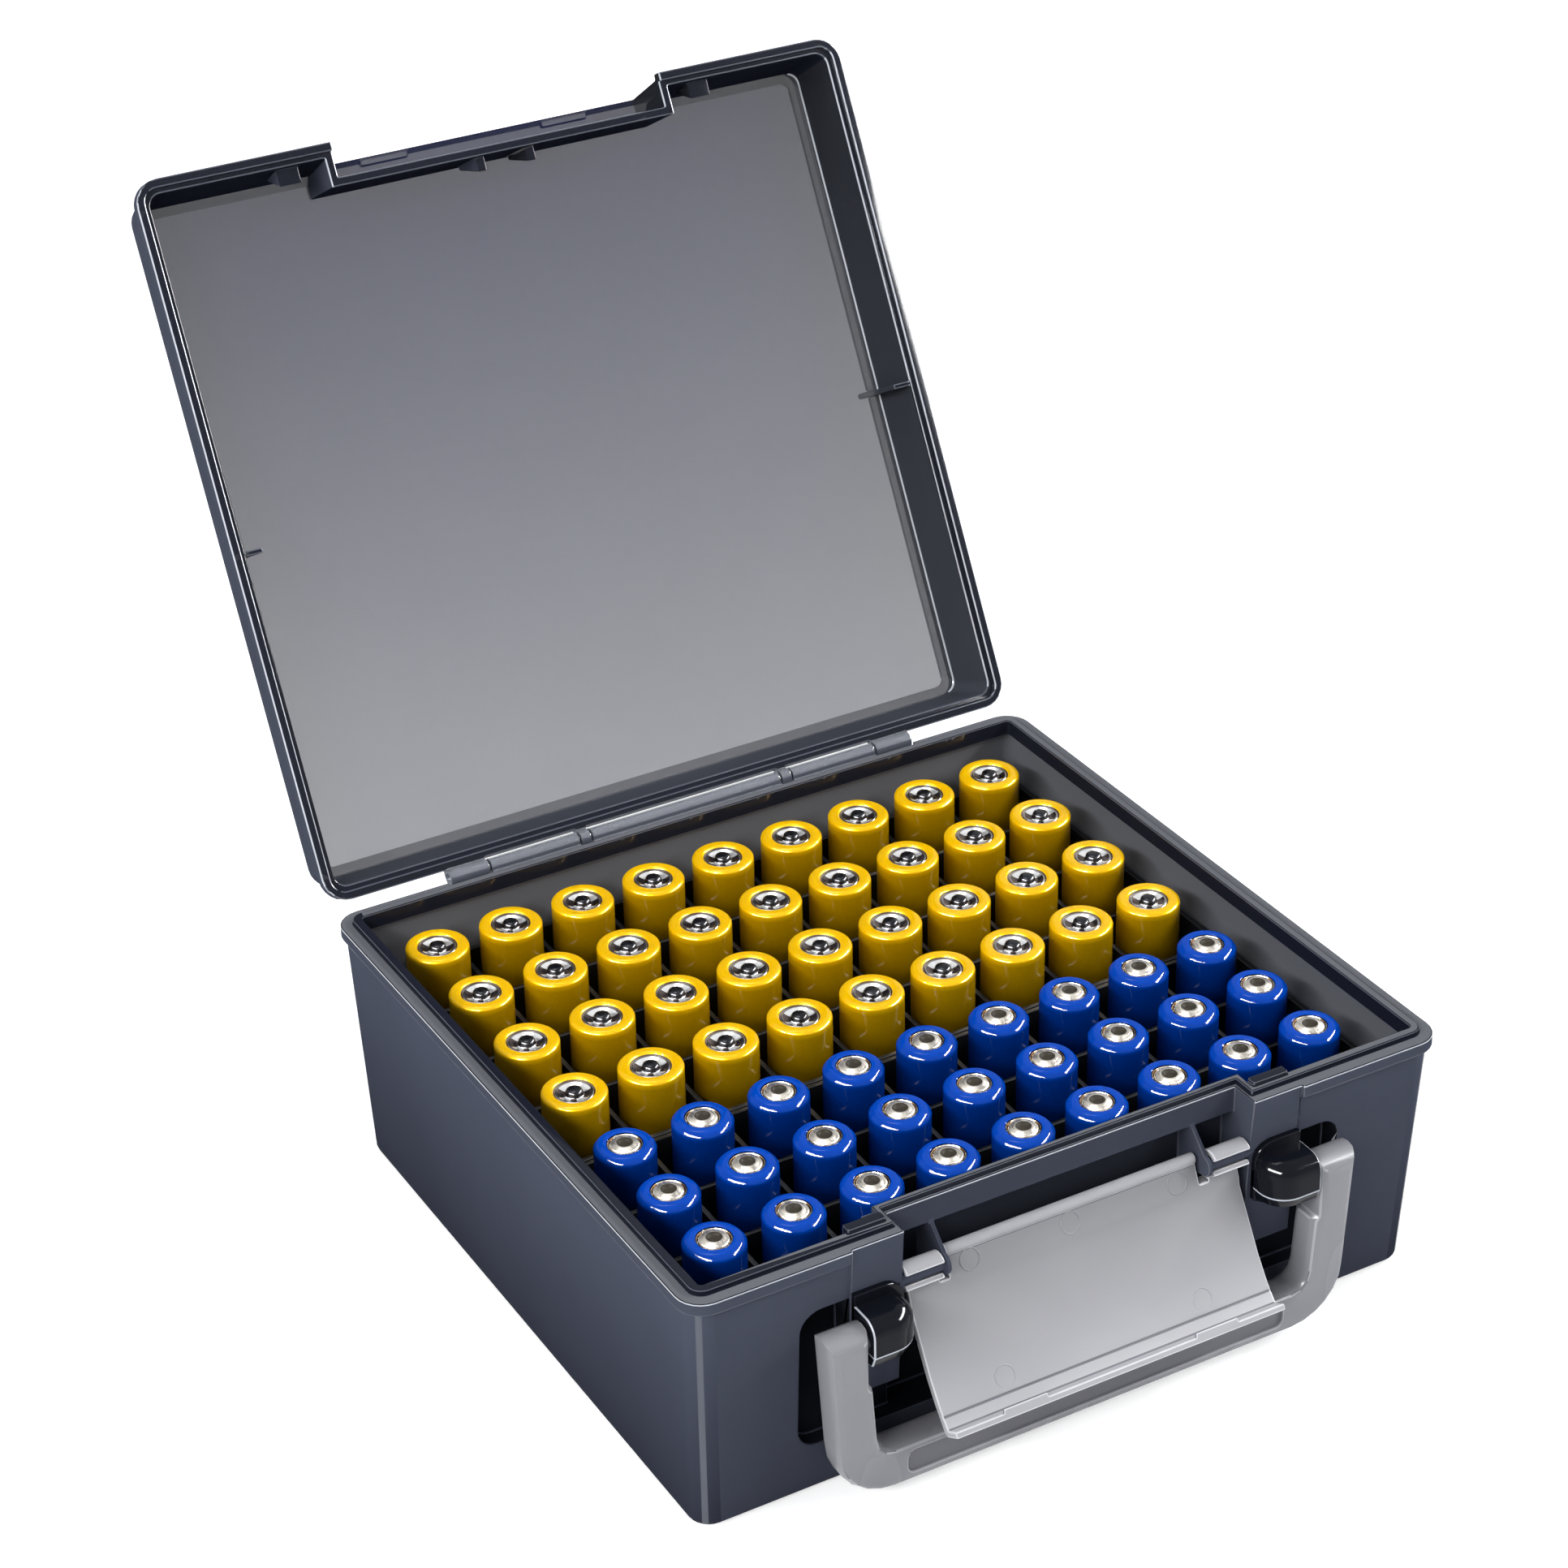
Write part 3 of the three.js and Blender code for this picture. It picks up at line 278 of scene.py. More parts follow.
def smooth(piece, angle):
    """Smooth shading up to an angle, with the large flat faces kept flat."""
    select_only(piece)
    bpy.ops.object.shade_smooth_by_angle(angle=math.radians(angle))
    bpy.ops.object.modifier_add(type="WEIGHTED_NORMAL")
    weighted = piece.modifiers[-1]
    weighted.keep_sharp = True
    bpy.ops.object.modifier_apply(modifier=weighted.name)


def finish_piece(piece, body, slot, *nodes):
    """Puts a piece on its body, in place of its CAD nodes. Its slot is not used."""
    select_only(piece)
    bpy.ops.object.transform_apply(location=True, rotation=True, scale=True)
    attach(piece, body)
    if nodes:
        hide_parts(*nodes)
    deselect()


def new_material(name):
    material = bpy.data.materials.new(name)
    material.use_nodes = True
    nodes = material.node_tree.nodes
    return material, nodes, material.node_tree.links, nodes["Principled BSDF"]


def noise(nodes, links, scale, detail=3.0, stretch=None):
    """A noise texture on Object coordinates, which may be stretched."""
    coordinates = nodes.new("ShaderNodeTexCoord")
    texture = nodes.new("ShaderNodeTexNoise")
    texture.inputs["Scale"].default_value = scale
    texture.inputs["Detail"].default_value = detail
    if stretch:
        mapping = nodes.new("ShaderNodeMapping")
        mapping.inputs["Scale"].default_value = stretch
        links.new(coordinates.outputs["Object"], mapping.inputs["Vector"])
        links.new(mapping.outputs["Vector"], texture.inputs["Vector"])
    else:
        links.new(coordinates.outputs["Object"], texture.inputs["Vector"])
    return texture


def spread(nodes, links, source, low, high):
    """Turns a noise's 0.3 to 0.7 into a range of values."""
    node = nodes.new("ShaderNodeMapRange")
    node.inputs["From Min"].default_value = 0.3
    node.inputs["From Max"].default_value = 0.7
    node.inputs["To Min"].default_value = low
    node.inputs["To Max"].default_value = high
    links.new(source, node.inputs["Value"])
    return node.outputs["Result"]


def vary(nodes, links, source, colour, amount):
    """A colour that grows lighter and darker by a share as the source goes from 0.3 to 0.7."""
    ramp = nodes.new("ShaderNodeValToRGB")
    ramp.color_ramp.elements[0].position = 0.3
    ramp.color_ramp.elements[1].position = 0.7
    ramp.color_ramp.elements[0].color = (*(c * (1 - amount) for c in colour), 1)
    ramp.color_ramp.elements[1].color = (*(min(1, c * (1 + amount)) for c in colour), 1)
    links.new(source, ramp.inputs["Fac"])
    return ramp.outputs["Color"]


def bump(nodes, links, bsdf, source, strength, distance):
    node = nodes.new("ShaderNodeBump")
    node.inputs["Strength"].default_value = strength
    node.inputs["Distance"].default_value = distance
    links.new(source, node.inputs["Height"])
    links.new(node.outputs["Normal"], bsdf.inputs["Normal"])


def fall_off(nodes, links, colour, axis, low, high, low_share, high_share):
    """Painted shade: a colour that goes from one share of itself to another along an axis of the object."""
    coordinates = nodes.new("ShaderNodeTexCoord")
    split = nodes.new("ShaderNodeSeparateXYZ")
    links.new(coordinates.outputs["Object"], split.inputs["Vector"])
    share = nodes.new("ShaderNodeMapRange")
    share.inputs["From Min"].default_value = low
    share.inputs["From Max"].default_value = high
    share.inputs["To Min"].default_value = low_share
    share.inputs["To Max"].default_value = high_share
    links.new(split.outputs[axis], share.inputs["Value"])
    scaled = nodes.new("ShaderNodeVectorMath")
    scaled.operation = "SCALE"
    links.new(colour, scaled.inputs[0])
    links.new(share.outputs["Result"], scaled.inputs["Scale"])
    return scaled.outputs["Vector"]


def moulded(name, colour, roughness, opacity=1.0, specular=0.5, coat=0.0, mottle=0.05, fall=None):
    """Moulded plastic: a little mottled, with a fine grain and patches of more and less gloss."""
    material, nodes, links, bsdf = new_material(name)
    patches = noise(nodes, links, 26, 4)
    flow = noise(nodes, links, 60, 2, (1, 1, 0.25))
    fine = noise(nodes, links, 1500, 2)
    tone = vary(nodes, links, patches.outputs["Fac"], colour, mottle)
    # A fall is painted shade along an axis of the object.
    if fall:
        tone = fall_off(nodes, links, tone, *fall)
    links.new(tone, bsdf.inputs["Base Color"])
    gloss = spread(nodes, links, flow.outputs["Fac"], roughness * 0.93, roughness * 1.1)
    links.new(gloss, bsdf.inputs["Roughness"])
    bump(nodes, links, bsdf, fine.outputs["Fac"], 0.2, PLASTIC_GRAIN)
    bsdf.inputs["IOR"].default_value = PLASTIC_IOR
    bsdf.inputs["Specular IOR Level"].default_value = specular
    bsdf.inputs["Coat Weight"].default_value = coat
    bsdf.inputs["Coat Roughness"].default_value = 0.04
    bsdf.inputs["Alpha"].default_value = opacity
    return material


def shaded_panel(name, colour, opacity, hinge_z, top_z):
    """The lid's see-through panel, more opaque towards its free edge: painted shade that darkens it upwards.
    """
    material = moulded(name, colour, 0.12, specular=0.0, mottle=0.04)
    nodes, links = material.node_tree.nodes, material.node_tree.links
    coordinates = nodes.new("ShaderNodeTexCoord")
    split = nodes.new("ShaderNodeSeparateXYZ")
    links.new(coordinates.outputs["Object"], split.inputs["Vector"])
    rise = nodes.new("ShaderNodeMapRange")
    rise.inputs["From Min"].default_value = hinge_z
    rise.inputs["From Max"].default_value = top_z
    rise.inputs["To Min"].default_value = opacity - 0.1
    rise.inputs["To Max"].default_value = opacity + 0.12
    links.new(split.outputs["Z"], rise.inputs["Value"])
    links.new(rise.outputs["Result"], nodes["Principled BSDF"].inputs["Alpha"])
    return material


def sleeve(name, colour, metallic, roughness, coat, *falls):
    """A cell's printed sleeve: fine pearl in the colour, under a varnish."""
    material, nodes, links, bsdf = new_material(name)
    pearl = noise(nodes, links, 2400, 3)
    cloud = noise(nodes, links, 90, 2)
    tone = vary(nodes, links, pearl.outputs["Fac"], colour, 0.06)
    # The falls are painted shade down the sleeve.
    for fall in falls:
        tone = fall_off(nodes, links, tone, *fall)
    links.new(tone, bsdf.inputs["Base Color"])
    links.new(
        spread(nodes, links, cloud.outputs["Fac"], roughness * 0.95, roughness * 1.08),
        bsdf.inputs["Roughness"],
    )
    bump(nodes, links, bsdf, pearl.outputs["Fac"], 0.05, 0.002 * MM)
    bsdf.inputs["Metallic"].default_value = metallic
    bsdf.inputs["Specular IOR Level"].default_value = 0.0
    bsdf.inputs["Coat Weight"].default_value = coat
    bsdf.inputs["Coat Roughness"].default_value = 0.02
    return material


def plated(name, colour, roughness, metallic=1.0):
    """Plated steel with faint rolling marks."""
    material, nodes, links, bsdf = new_material(name)
    marks = noise(nodes, links, 900, 3, (1, 0.2, 1))
    links.new(vary(nodes, links, marks.outputs["Fac"], colour, 0.08), bsdf.inputs["Base Color"])
    links.new(
        spread(nodes, links, marks.outputs["Fac"], roughness * 0.7, roughness * 1.5),
        bsdf.inputs["Roughness"],
    )
    bump(nodes, links, bsdf, marks.outputs["Fac"], 0.1, 0.01 * MM)
    bsdf.inputs["Metallic"].default_value = metallic
    return material


def assign(piece, materials, choose=None):
    """Gives each face the material that choose(centre, normal, edge) returns, or else the first one."""
    edges = [polygon.material_index for polygon in piece.data.polygons]
    piece.data.materials.clear()
    for material in materials:
        piece.data.materials.append(material)
    for polygon, edge in zip(piece.data.polygons, edges):
        chosen = choose(polygon.center, polygon.normal, edge) if choose else materials[0]
        polygon.material_index = materials.index(chosen)


class BATTERYBOX_OT_case(bpy.types.Operator):
    """Case body: outer walls, rim, recess and pillars"""

    bl_idname = "battery_box.case"
    bl_label = "Case"

    def execute(self, context):
        settings = context.scene.battery_box.smoke
        piece = copy_node("case_body", "case_shell")
        round_edges(piece, settings.edge)
        low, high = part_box("case_body")
        hinge = Vector(LID_HINGE["pos_m"])
        # Painted shade: the walls darken towards the bottom, the left and right sides more than the front
        # and back.
        wall_painted_shade = ("Z", low[2], high[2], 0.8, 1.05)
        wall = moulded("smoke_wall", settings.wall, 0.3, specular=0.0, fall=wall_painted_shade)
        side_painted_shade = ("Z", low[2], high[2], 0.5, 1.2)
        side = moulded("smoke_side", settings.side, 0.3, specular=0.0, fall=side_painted_shade)
        rim = moulded("smoke_rim", settings.rim, 0.07, specular=0.08)
        # Painted light: the inside is lighter than the walls, for the light that comes through them.
        inside = moulded("smoke_inside", settings.inside, 0.34, specular=0.0)
        # Painted shade in the recess behind the latch and the handle: the wall colour, darkest low down.
        well_painted_shade = ("Z", 42 * MM, 52 * MM, 0.14, 0.8)
        well = moulded("smoke_shadowed", settings.wall, 0.3, specular=0.0, fall=well_painted_shade)
        barrel = moulded("smoke_barrel", settings.barrel, 0.1, 0.4, coat=0.2)
        # Painted highlights: a bright and a faint colour for chosen rounded edges.
        glint = moulded("smoke_glint", settings.glint, 0.12, specular=0.3)
        faint = moulded("smoke_edge", settings.faint, 0.12, specular=0.2)
        rim_foot = high[2] - 4.6 * MM
        rim_top = high[2] - 2.2 * MM
        flange_foot = rim_top - 2.9 * MM
        margin = 8 * MM
        floor_top = 3 * MM
        back_inside = high[1] - margin - 2 * MM
        front_inside = -71.9 * MM
        barrel_front, barrel_reach = hinge.y - 2.6 * MM, 3.3 * MM
        wall_lean = 3.5 * MM
        recess_top, recess_depth, recess_half, pillar_inner = 56 * MM, 1.6 * MM, 66.4, 46

        def choose(centre, normal, edge):
            from_axis = math.hypot(centre.y - hinge.y, centre.z - hinge.z)
            # Painted highlight on the barrels' upper half, painted shade on their lower half.
            if centre.y > barrel_front and from_axis < barrel_reach:
                return barrel if normal.z > 0.4 else faint
            inward = math.copysign(normal.x, -centre.x * normal.x)
            outward = centre.x * normal.x + centre.y * normal.y > 0
            # Painted highlights on the rim's rounded edges: bright along the outer top edge, faint on the
            # others.
            if edge == CONVEX and centre.z > flange_foot - 0.5 * MM and normal.z < 0.9:
                return glint if abs(centre.z - rim_top) < 0.4 * MM and outward else faint
            if outward and flange_foot < centre.z < rim_top and abs(normal.z) < 0.4:
                return wall
            across = abs(centre.x) / MM
            set_back = centre.y - low[1] - wall_lean * (1 - centre.z / rim_top)
            in_recess = across < recess_half and set_back > recess_depth and centre.y < front_inside
            # Faces in the recess take the painted shade, except the sides of the pillars.
            if in_recess and centre.z < recess_top and not edge:
                return wall if across < pillar_inner and abs(normal.x) > 0.5 else well
            # Walls that face the middle, and the floor, take the inside's painted light.
            toward_middle = inward > 0.5 or (centre.y > 0 and normal.y < -0.5)
            if floor_top < centre.z < rim_foot and toward_middle and abs(normal.z) < 0.5:
                return inside
            within = low[0] + margin < centre.x < high[0] - margin
            if within and front_inside < centre.y < back_inside and normal.z > 0.5:
                return inside
            if centre.z > rim_foot:
                return rim
            # Painted highlight: a faint stripe down the rounding of the front corners.
            if outward and 0.5 < abs(normal.x) < 0.7 and centre.y < 0:
                return faint
            return side if abs(normal.x) > 0.1 else wall

        assign(piece, [wall, rim, inside, well, barrel, side, glint, faint], choose)
        finish_piece(piece, "case", "smoke_case", "case_body")
        return {"FINISHED"}


class BATTERYBOX_OT_lid(bpy.types.Operator):
    """Lid: see-through panel with darker walls"""

    bl_idname = "battery_box.lid"
    bl_label = "Lid"

    def execute(self, context):
        settings = context.scene.battery_box.smoke
        piece = copy_node("lid", "lid_shell")
        round_edges(piece, settings.edge)
        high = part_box("lid")[1]
        hinge = Vector(LID_HINGE["pos_m"])
        angle = math.radians(LID_HINGE["range_deg"][1])
        out = Vector((0, math.sin(angle), math.cos(angle)))
        along = Vector((0, -math.cos(angle), math.sin(angle)))
        panel = shaded_panel("lid_panel", settings.panel, settings.panel_opacity, hinge.z, high[2])
        band = moulded("lid_band", settings.band, 0.2, 0.84, specular=0.0)
        outer = moulded("lid_outer", settings.wall, 0.3, specular=0.0)
        # Painted shade: the lid's inner walls are lighter by the hinge and darker towards the free edge.
        inner_painted_shade = ("Z", hinge.z, high[2], 1.5, 0.55)
        wall = moulded("lid_wall", settings.lid_wall, 0.16, settings.wall_opacity, 0.0, fall=inner_painted_shade)
        # Painted shade: the dull rim colour on the band's left side and on the inner walls at the free edge.
        shade = moulded("lid_shade", settings.rim, 0.3, specular=0.0)
        rim = moulded("lid_rim", settings.rim, 0.07, 0.96, 0.12)
        barrel = moulded("lid_barrel", settings.barrel, 0.1, 0.4, coat=0.2)
        # Painted highlights: a bright and a faint colour for chosen rounded edges.
        glint = moulded("lid_glint", settings.glint, 0.12, specular=0.3)
        faint = moulded("lid_edge", settings.faint, 0.12, specular=0.2)

        barrel_reach, rim_depth, wall_start = 3.4 * MM, 2.2 * MM, 1.5 * MM
        half_depth, free_edge = 86 * MM, 50 * MM
        hollow_depth, hollow_end = 14 * MM, 16 * MM
        panel_depth, band_depth, band_end = 15.5 * MM, 15 * MM, 17.4 * MM

        def choose(centre, normal, edge):
            depth = (centre - hinge).dot(out)
            facing = normal.dot(out)
            # Painted highlight on the barrels' upper half, painted shade on their lower half.
            if (centre - Vector((centre.x, hinge.y, hinge.z))).length < barrel_reach:
                return barrel if normal.z > 0.4 else faint
            across = abs(centre.x) / MM
            # Painted highlights on the rim's rounded edges: bright lines along the lips, faint on the
            # others.
            if edge == CONVEX and depth < rim_depth and facing < -0.2:
                inner_lip, outer_lip = 86.8 < across < 87.8, 88.2 < across < 89.2
                outer_edge = centre.x < -90 * MM or across < 60
                if centre.x < 0 and inner_lip:
                    return rim
                return glint if abs(normal.x) > 0.3 and (inner_lip or outer_lip or outer_edge) else faint
            # Painted highlight along the hollow between the band and the wall, the wall colour past it.
            if edge == HOLLOW and hollow_depth < depth and normal.x < -0.2:
                return glint if depth < hollow_end else wall
            if depth > panel_depth and abs(facing) > 0.9:
                return panel
            # The band's left side takes the painted shade.
            if band_depth < depth < band_end and -0.9 < facing < -0.5:
                return shade if normal.x > 0.3 else band
            upright = wall_start < depth and abs(facing) < 0.4
            past_middle = (centre - hinge).dot(along) - half_depth
            # Inner walls at the free edge take the painted shade.
            if past_middle > free_edge and upright and normal.dot(along) < -0.5:
                return shade
            from_middle = centre.x * normal.x if abs(normal.x) > 0.3 else past_middle * normal.dot(along)
            if upright and from_middle < 0:
                return wall
            return outer if abs(facing) < 0.7 and depth > wall_start else rim

        assign(piece, [panel, band, wall, rim, barrel, glint, faint, outer, shade], choose)
        finish_piece(piece, "lid", "smoke_lid", "lid")
        return {"FINISHED"}


class BATTERYBOX_OT_hinge_pin(bpy.types.Operator):
    """Hinge pin: a straight steel wire with rounded ends"""

    bl_idname = "battery_box.hinge_pin"
    bl_label = "Hinge pin"

    def execute(self, context):
        low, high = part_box("hinge_pin")
        radius = (high[2] - low[2]) / 2
        centre = [(a + b) / 2 for a, b in zip(low, high)]
        deselect()
        bpy.ops.mesh.primitive_cylinder_add(
            vertices=24, radius=radius, depth=high[0] - low[0], location=centre, rotation=(0, math.pi / 2, 0)
        )
        piece = context.object
        piece.name = piece.data.name = "hinge_wire"
        round_edges(piece, radius * 0.4, 3)
        assign(piece, [plated("pin_steel", linear(214, 216, 220), 0.18)])
        finish_piece(piece, "case", "steel", "hinge_pin")
        return {"FINISHED"}


class BATTERYBOX_OT_trays(bpy.types.Operator):
    """Trays: two black egg-crate lattices"""

    bl_idname = "battery_box.trays"
    bl_label = "Trays"

    def execute(self, context):
        settings = context.scene.battery_box.black
        black = moulded("tray_black", settings.tray, 0.38, specular=0.3, mottle=0.12)
        for node, name in (("yellow_cell_tray", "yellow_lattice"), ("blue_cell_tray", "blue_lattice")):
            piece = copy_node(node, name, whole_faces=False)
            round_edges(piece, 0.2 * MM, 2)
            assign(piece, [black])
            finish_piece(piece, "case", "black_tray", node)
        return {"FINISHED"}


class BATTERYBOX_OT_brackets(bpy.types.Operator):
    """Brackets: near-black hoods that hold the handle"""

    bl_idname = "battery_box.brackets"
    bl_label = "Handle brackets"

    def execute(self, context):
        settings = context.scene.battery_box.black
        black = moulded("bracket_black", settings.bracket, 0.09, specular=0.1)
        # Painted highlight along each hood's crease and its outer edges.
        glint = moulded("bracket_edge", settings.crease, 0.1, specular=0.3)

        def choose(centre, normal, edge):
            at_crease = abs(centre.z - HOOD_CREASE) < 0.2 * MM and not edge
            at_side = edge == CONVEX and abs(centre.x) > 53.9 * MM and centre.y < -84.2 * MM
            return glint if at_crease or at_side else black

        for side, name in ((1, "right"), (-1, "left")):
            node = f"handle_bracket_{name}"
            piece = hood(f"hood_{name}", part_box(node), side, settings)
            drill(piece, side)
            seat = hood_seat(f"hood_seat_{name}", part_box(node), side)
            deselect()
            seat.select_set(True)
            piece.select_set(True)
            bpy.context.view_layer.objects.active = piece
            bpy.ops.object.join()
            round_edges(piece, settings.edge, 3, 35)
            assign(piece, [black, glint], choose)
            finish_piece(piece, "case", "black_gloss", node)
        return {"FINISHED"}


def hood(name, box, side, settings):
    """Hood over the handle's pin: domed at the top and the inner corner, with a band below its crease."""
    low, high = box
    inner, outer = (low[0], high[0]) if side > 0 else (high[0], low[0])
    front, back, top = low[1], -82.5 * MM, high[2] - 1.2 * MM
    crease, band_drop, back_drop = HOOD_CREASE, 2.6 * MM, 1.8 * MM
    size = (abs(outer - inner), back - front, top - crease)
    place = ((inner + outer) / 2, (front + back) / 2, (crease + top) / 2)
    deselect()
    bpy.ops.mesh.primitive_cube_add(size=1, location=place, scale=size)
    piece = bpy.context.object
    piece.name = piece.data.name = name
    bpy.ops.object.transform_apply(location=True, rotation=True, scale=True)

    def near(value, target):
        return abs(value - target) < 0.01 * MM

    mesh = edit(piece, "EDGE")
    for line in mesh.edges:
        line.select_set(all(near(v.co.x, inner) and near(v.co.y, front) for v in line.verts))
    bpy.ops.mesh.bevel(offset=settings.dome, segments=8, affect="EDGES")
    mesh = edit_again(piece, "FACE")
    pick_faces(mesh, piece, lambda centre, normal: normal.z < -0.9)
    bpy.ops.mesh.extrude_region_move(TRANSFORM_OT_translate={"value": (0, 0, -band_drop)})
    bpy.ops.transform.resize(value=(0.93, 0.88, 1), center_override=(outer, back, crease - band_drop))
    mesh = edit_again(piece, "VERT")
    for vertex in mesh.verts:
        vertex.select_set(near(vertex.co.z, crease - band_drop) and near(vertex.co.y, back))
    bpy.ops.transform.translate(value=(0, 0, -back_drop))
    mesh = edit_again(piece, "EDGE")
    for line in mesh.edges:
        at_top = all(near(v.co.z, top) for v in line.verts)
        at_back = all(near(v.co.y, back) for v in line.verts)
        at_side = all(near(v.co.x, outer) for v in line.verts)
        line.select_set(at_top and not at_back and not at_side)
    bpy.ops.mesh.bevel(offset=0.6 * settings.dome, segments=6, affect="EDGES")
    mesh = edit_again(piece, "EDGE")
    for line in mesh.edges:
        at_crease = all(near(v.co.z, crease) for v in line.verts)
        line.select_set(at_crease and not all(near(v.co.y, back) for v in line.verts))
    bpy.ops.mesh.bevel(offset=0.22 * MM, segments=2, affect="EDGES")
    leave_edit(piece)
    return piece


def hood_seat(name, box, side):
    """Flat seat of a hood on its pillar, with a round inner shoulder above the hood."""
    low, high = box
    inner, outer = (low[0], high[0]) if side > 0 else (high[0], low[0])
    front, back, foot, top = -83.9 * MM, -82.4 * MM, 35 * MM, 48.9 * MM
    size = (abs(outer - inner), back - front, top - foot)
    deselect()
    bpy.ops.mesh.primitive_cube_add(
        size=1, location=((inner + outer) / 2, (front + back) / 2, (foot + top) / 2), scale=size
    )
    piece = bpy.context.object
    piece.name = piece.data.name = name
    bpy.ops.object.transform_apply(location=True, rotation=True, scale=True)
    mesh = edit(piece, "EDGE")
    for line in mesh.edges:
        line.select_set(
            all(abs(v.co.x - inner) < 0.01 * MM and abs(v.co.z - top) < 0.01 * MM for v in line.verts)
        )
    bpy.ops.mesh.bevel(offset=4.5 * MM, segments=8, affect="EDGES")
    leave_edit(piece)
    return piece


def drill(piece, side):
    """Bore for the handle's pin in a hood."""
    axis = HANDLE_HINGE["pos_m"]
    outer, inner, radius = 55.4 * MM, 45.3 * MM, 2.5 * MM
    deselect()
    bpy.ops.mesh.primitive_cylinder_add(
        vertices=24,
        radius=radius,
        depth=outer - inner,
        location=(side * (outer + inner) / 2, axis[1], axis[2]),
        rotation=(0, math.pi / 2, 0),
    )
    cutter = bpy.context.object
    select_only(piece)
    bpy.ops.object.modifier_add(type="BOOLEAN")
    cut = piece.modifiers[-1]
    cut.operation = "DIFFERENCE"
    cut.object = cutter
    bpy.ops.object.modifier_apply(modifier=cut.name)
    bpy.data.objects.remove(cutter)


class BATTERYBOX_OT_handle(bpy.types.Operator):
    """Handle: grey bar with a recessed grip panel"""

    bl_idname = "battery_box.handle"
    bl_label = "Handle"

    def execute(self, context):
        settings = context.scene.battery_box.grey
        piece = copy_node("handle", "handle_bar")
        mark_slots(piece)
        mesh = edit(piece, "EDGE")
        for line in mesh.edges:
            middle = (line.verts[0].co + line.verts[1].co) / 2
            on_arm = middle.z > 14 * MM and abs(middle.x) > 56 * MM
            line.select_set(on_arm and line.calc_face_angle(0) > math.radians(40))
        bpy.ops.mesh.bevel(offset=1.1 * MM, segments=4, affect="EDGES", clamp_overlap=True)
        leave_edit(piece)
        round_edges(piece, settings.edge, 2, 38)
        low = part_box("handle")[0]
        grey = moulded("handle_grey", settings.handle, 0.26, specular=0.2)
        panel = moulded("handle_panel", settings.panel, 0.4, specular=0.15)
        # Painted highlight on the handle's rounded edges.
        light = moulded("handle_edge", settings.handle_edge, 0.26, specular=0.2)

        def choose(centre, normal, edge):
            sunk = centre.y > low[1] + 0.3 * MM and centre.z < low[2] + 9.5 * MM
            # Rounded edges take the painted highlight; hollow corners take the panel colour as painted
            # shade.
            if edge:
                return light if edge == CONVEX else panel
            return panel if sunk and abs(centre.x) < 47 * MM and normal.y < -0.8 else grey

        assign(piece, [grey, panel, light], choose)
        finish_piece(piece, "handle", "handle_grey", "handle")
        return {"FINISHED"}


class BATTERYBOX_OT_latch(bpy.types.Operator):
    """Latch: light grey plate with clips, a bead and a thumb tab"""

    bl_idname = "battery_box.latch"
    bl_label = "Latch"

    def execute(self, context):
        settings = context.scene.battery_box.grey
        pin = LATCH_HINGE["pos_m"]
        piece = copy_node("latch", "latch_plate")
        lip_groove(piece, -94.5 * MM, 0.5 * MM, 0.3 * MM)
        round_edges(piece, settings.edge)
        low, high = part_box("latch")
        # Painted shade: the latch is lighter at its foot and darker towards its top.
        latch_painted_shade = ("Z", low[2], high[2], 1.08, 0.6)
        grey = moulded("latch_grey", settings.latch, 0.42, specular=0.1, fall=latch_painted_shade)
        clip = moulded("latch_clip", settings.latch, 0.12, specular=0.15)
        # Painted highlight on the latch's rounded edges and painted shade in its hollow corners.
        light = moulded("latch_edge", settings.light, 0.3, specular=0.2)
        crease = moulded("latch_crease", settings.crease, 0.4, specular=0.1)
        clip_reach = 3.6 * MM

        def choose(centre, normal, edge):
            # Rounded edges take the painted highlight, hollow corners the painted shade.
            if edge:
                return light if edge == CONVEX else crease
            return clip if math.hypot(centre.y - pin[1], centre.z - pin[2]) < clip_reach else grey

        assign(piece, [grey, clip, light, crease], choose)
        marks = []
        for x, z in ((-24.3, 22.3), (24.3, 22.3), (-25.3, 44.4), (-1.1, 44.2), (25.3, 44)):
            place, normal = piece.ray_cast((x * MM, -150 * MM, z * MM), (0, 1, 0))[1:3]
            marks.append(ejector_mark(place, normal, settings.ring))
            assign(marks[-1], [grey])
        deselect()
        for part in (piece, *marks):
            part.select_set(True)
        bpy.context.view_layer.objects.active = piece
        bpy.ops.object.join()
        finish_piece(piece, "latch", "latch_grey", "latch")
        return {"FINISHED"}


def lip_groove(piece, y, half_width, depth):
    """Shallow groove along the foot of the latch's plate, above its lip."""
    mesh = edit(piece, "FACE")
    pick_faces(
        mesh, piece, lambda centre, normal: normal.y < -0.6 < 0.5 < normal.z and abs(centre.y - y) < 1 * MM
    )
    bpy.ops.mesh.bisect(plane_co=(0, y, 0), plane_no=(0, 1, 0))
    bpy.ops.mesh.bevel(offset=half_width, segments=2, affect="EDGES")
    mesh = edit_again(piece, "VERT")
    for vertex in mesh.verts:
        vertex.select_set(abs(vertex.co.y - y) < 0.02 * MM and vertex.co.z > 19 * MM)
    bpy.ops.transform.translate(value=(0, 0.76 * depth, -0.65 * depth))
    leave_edit(piece)


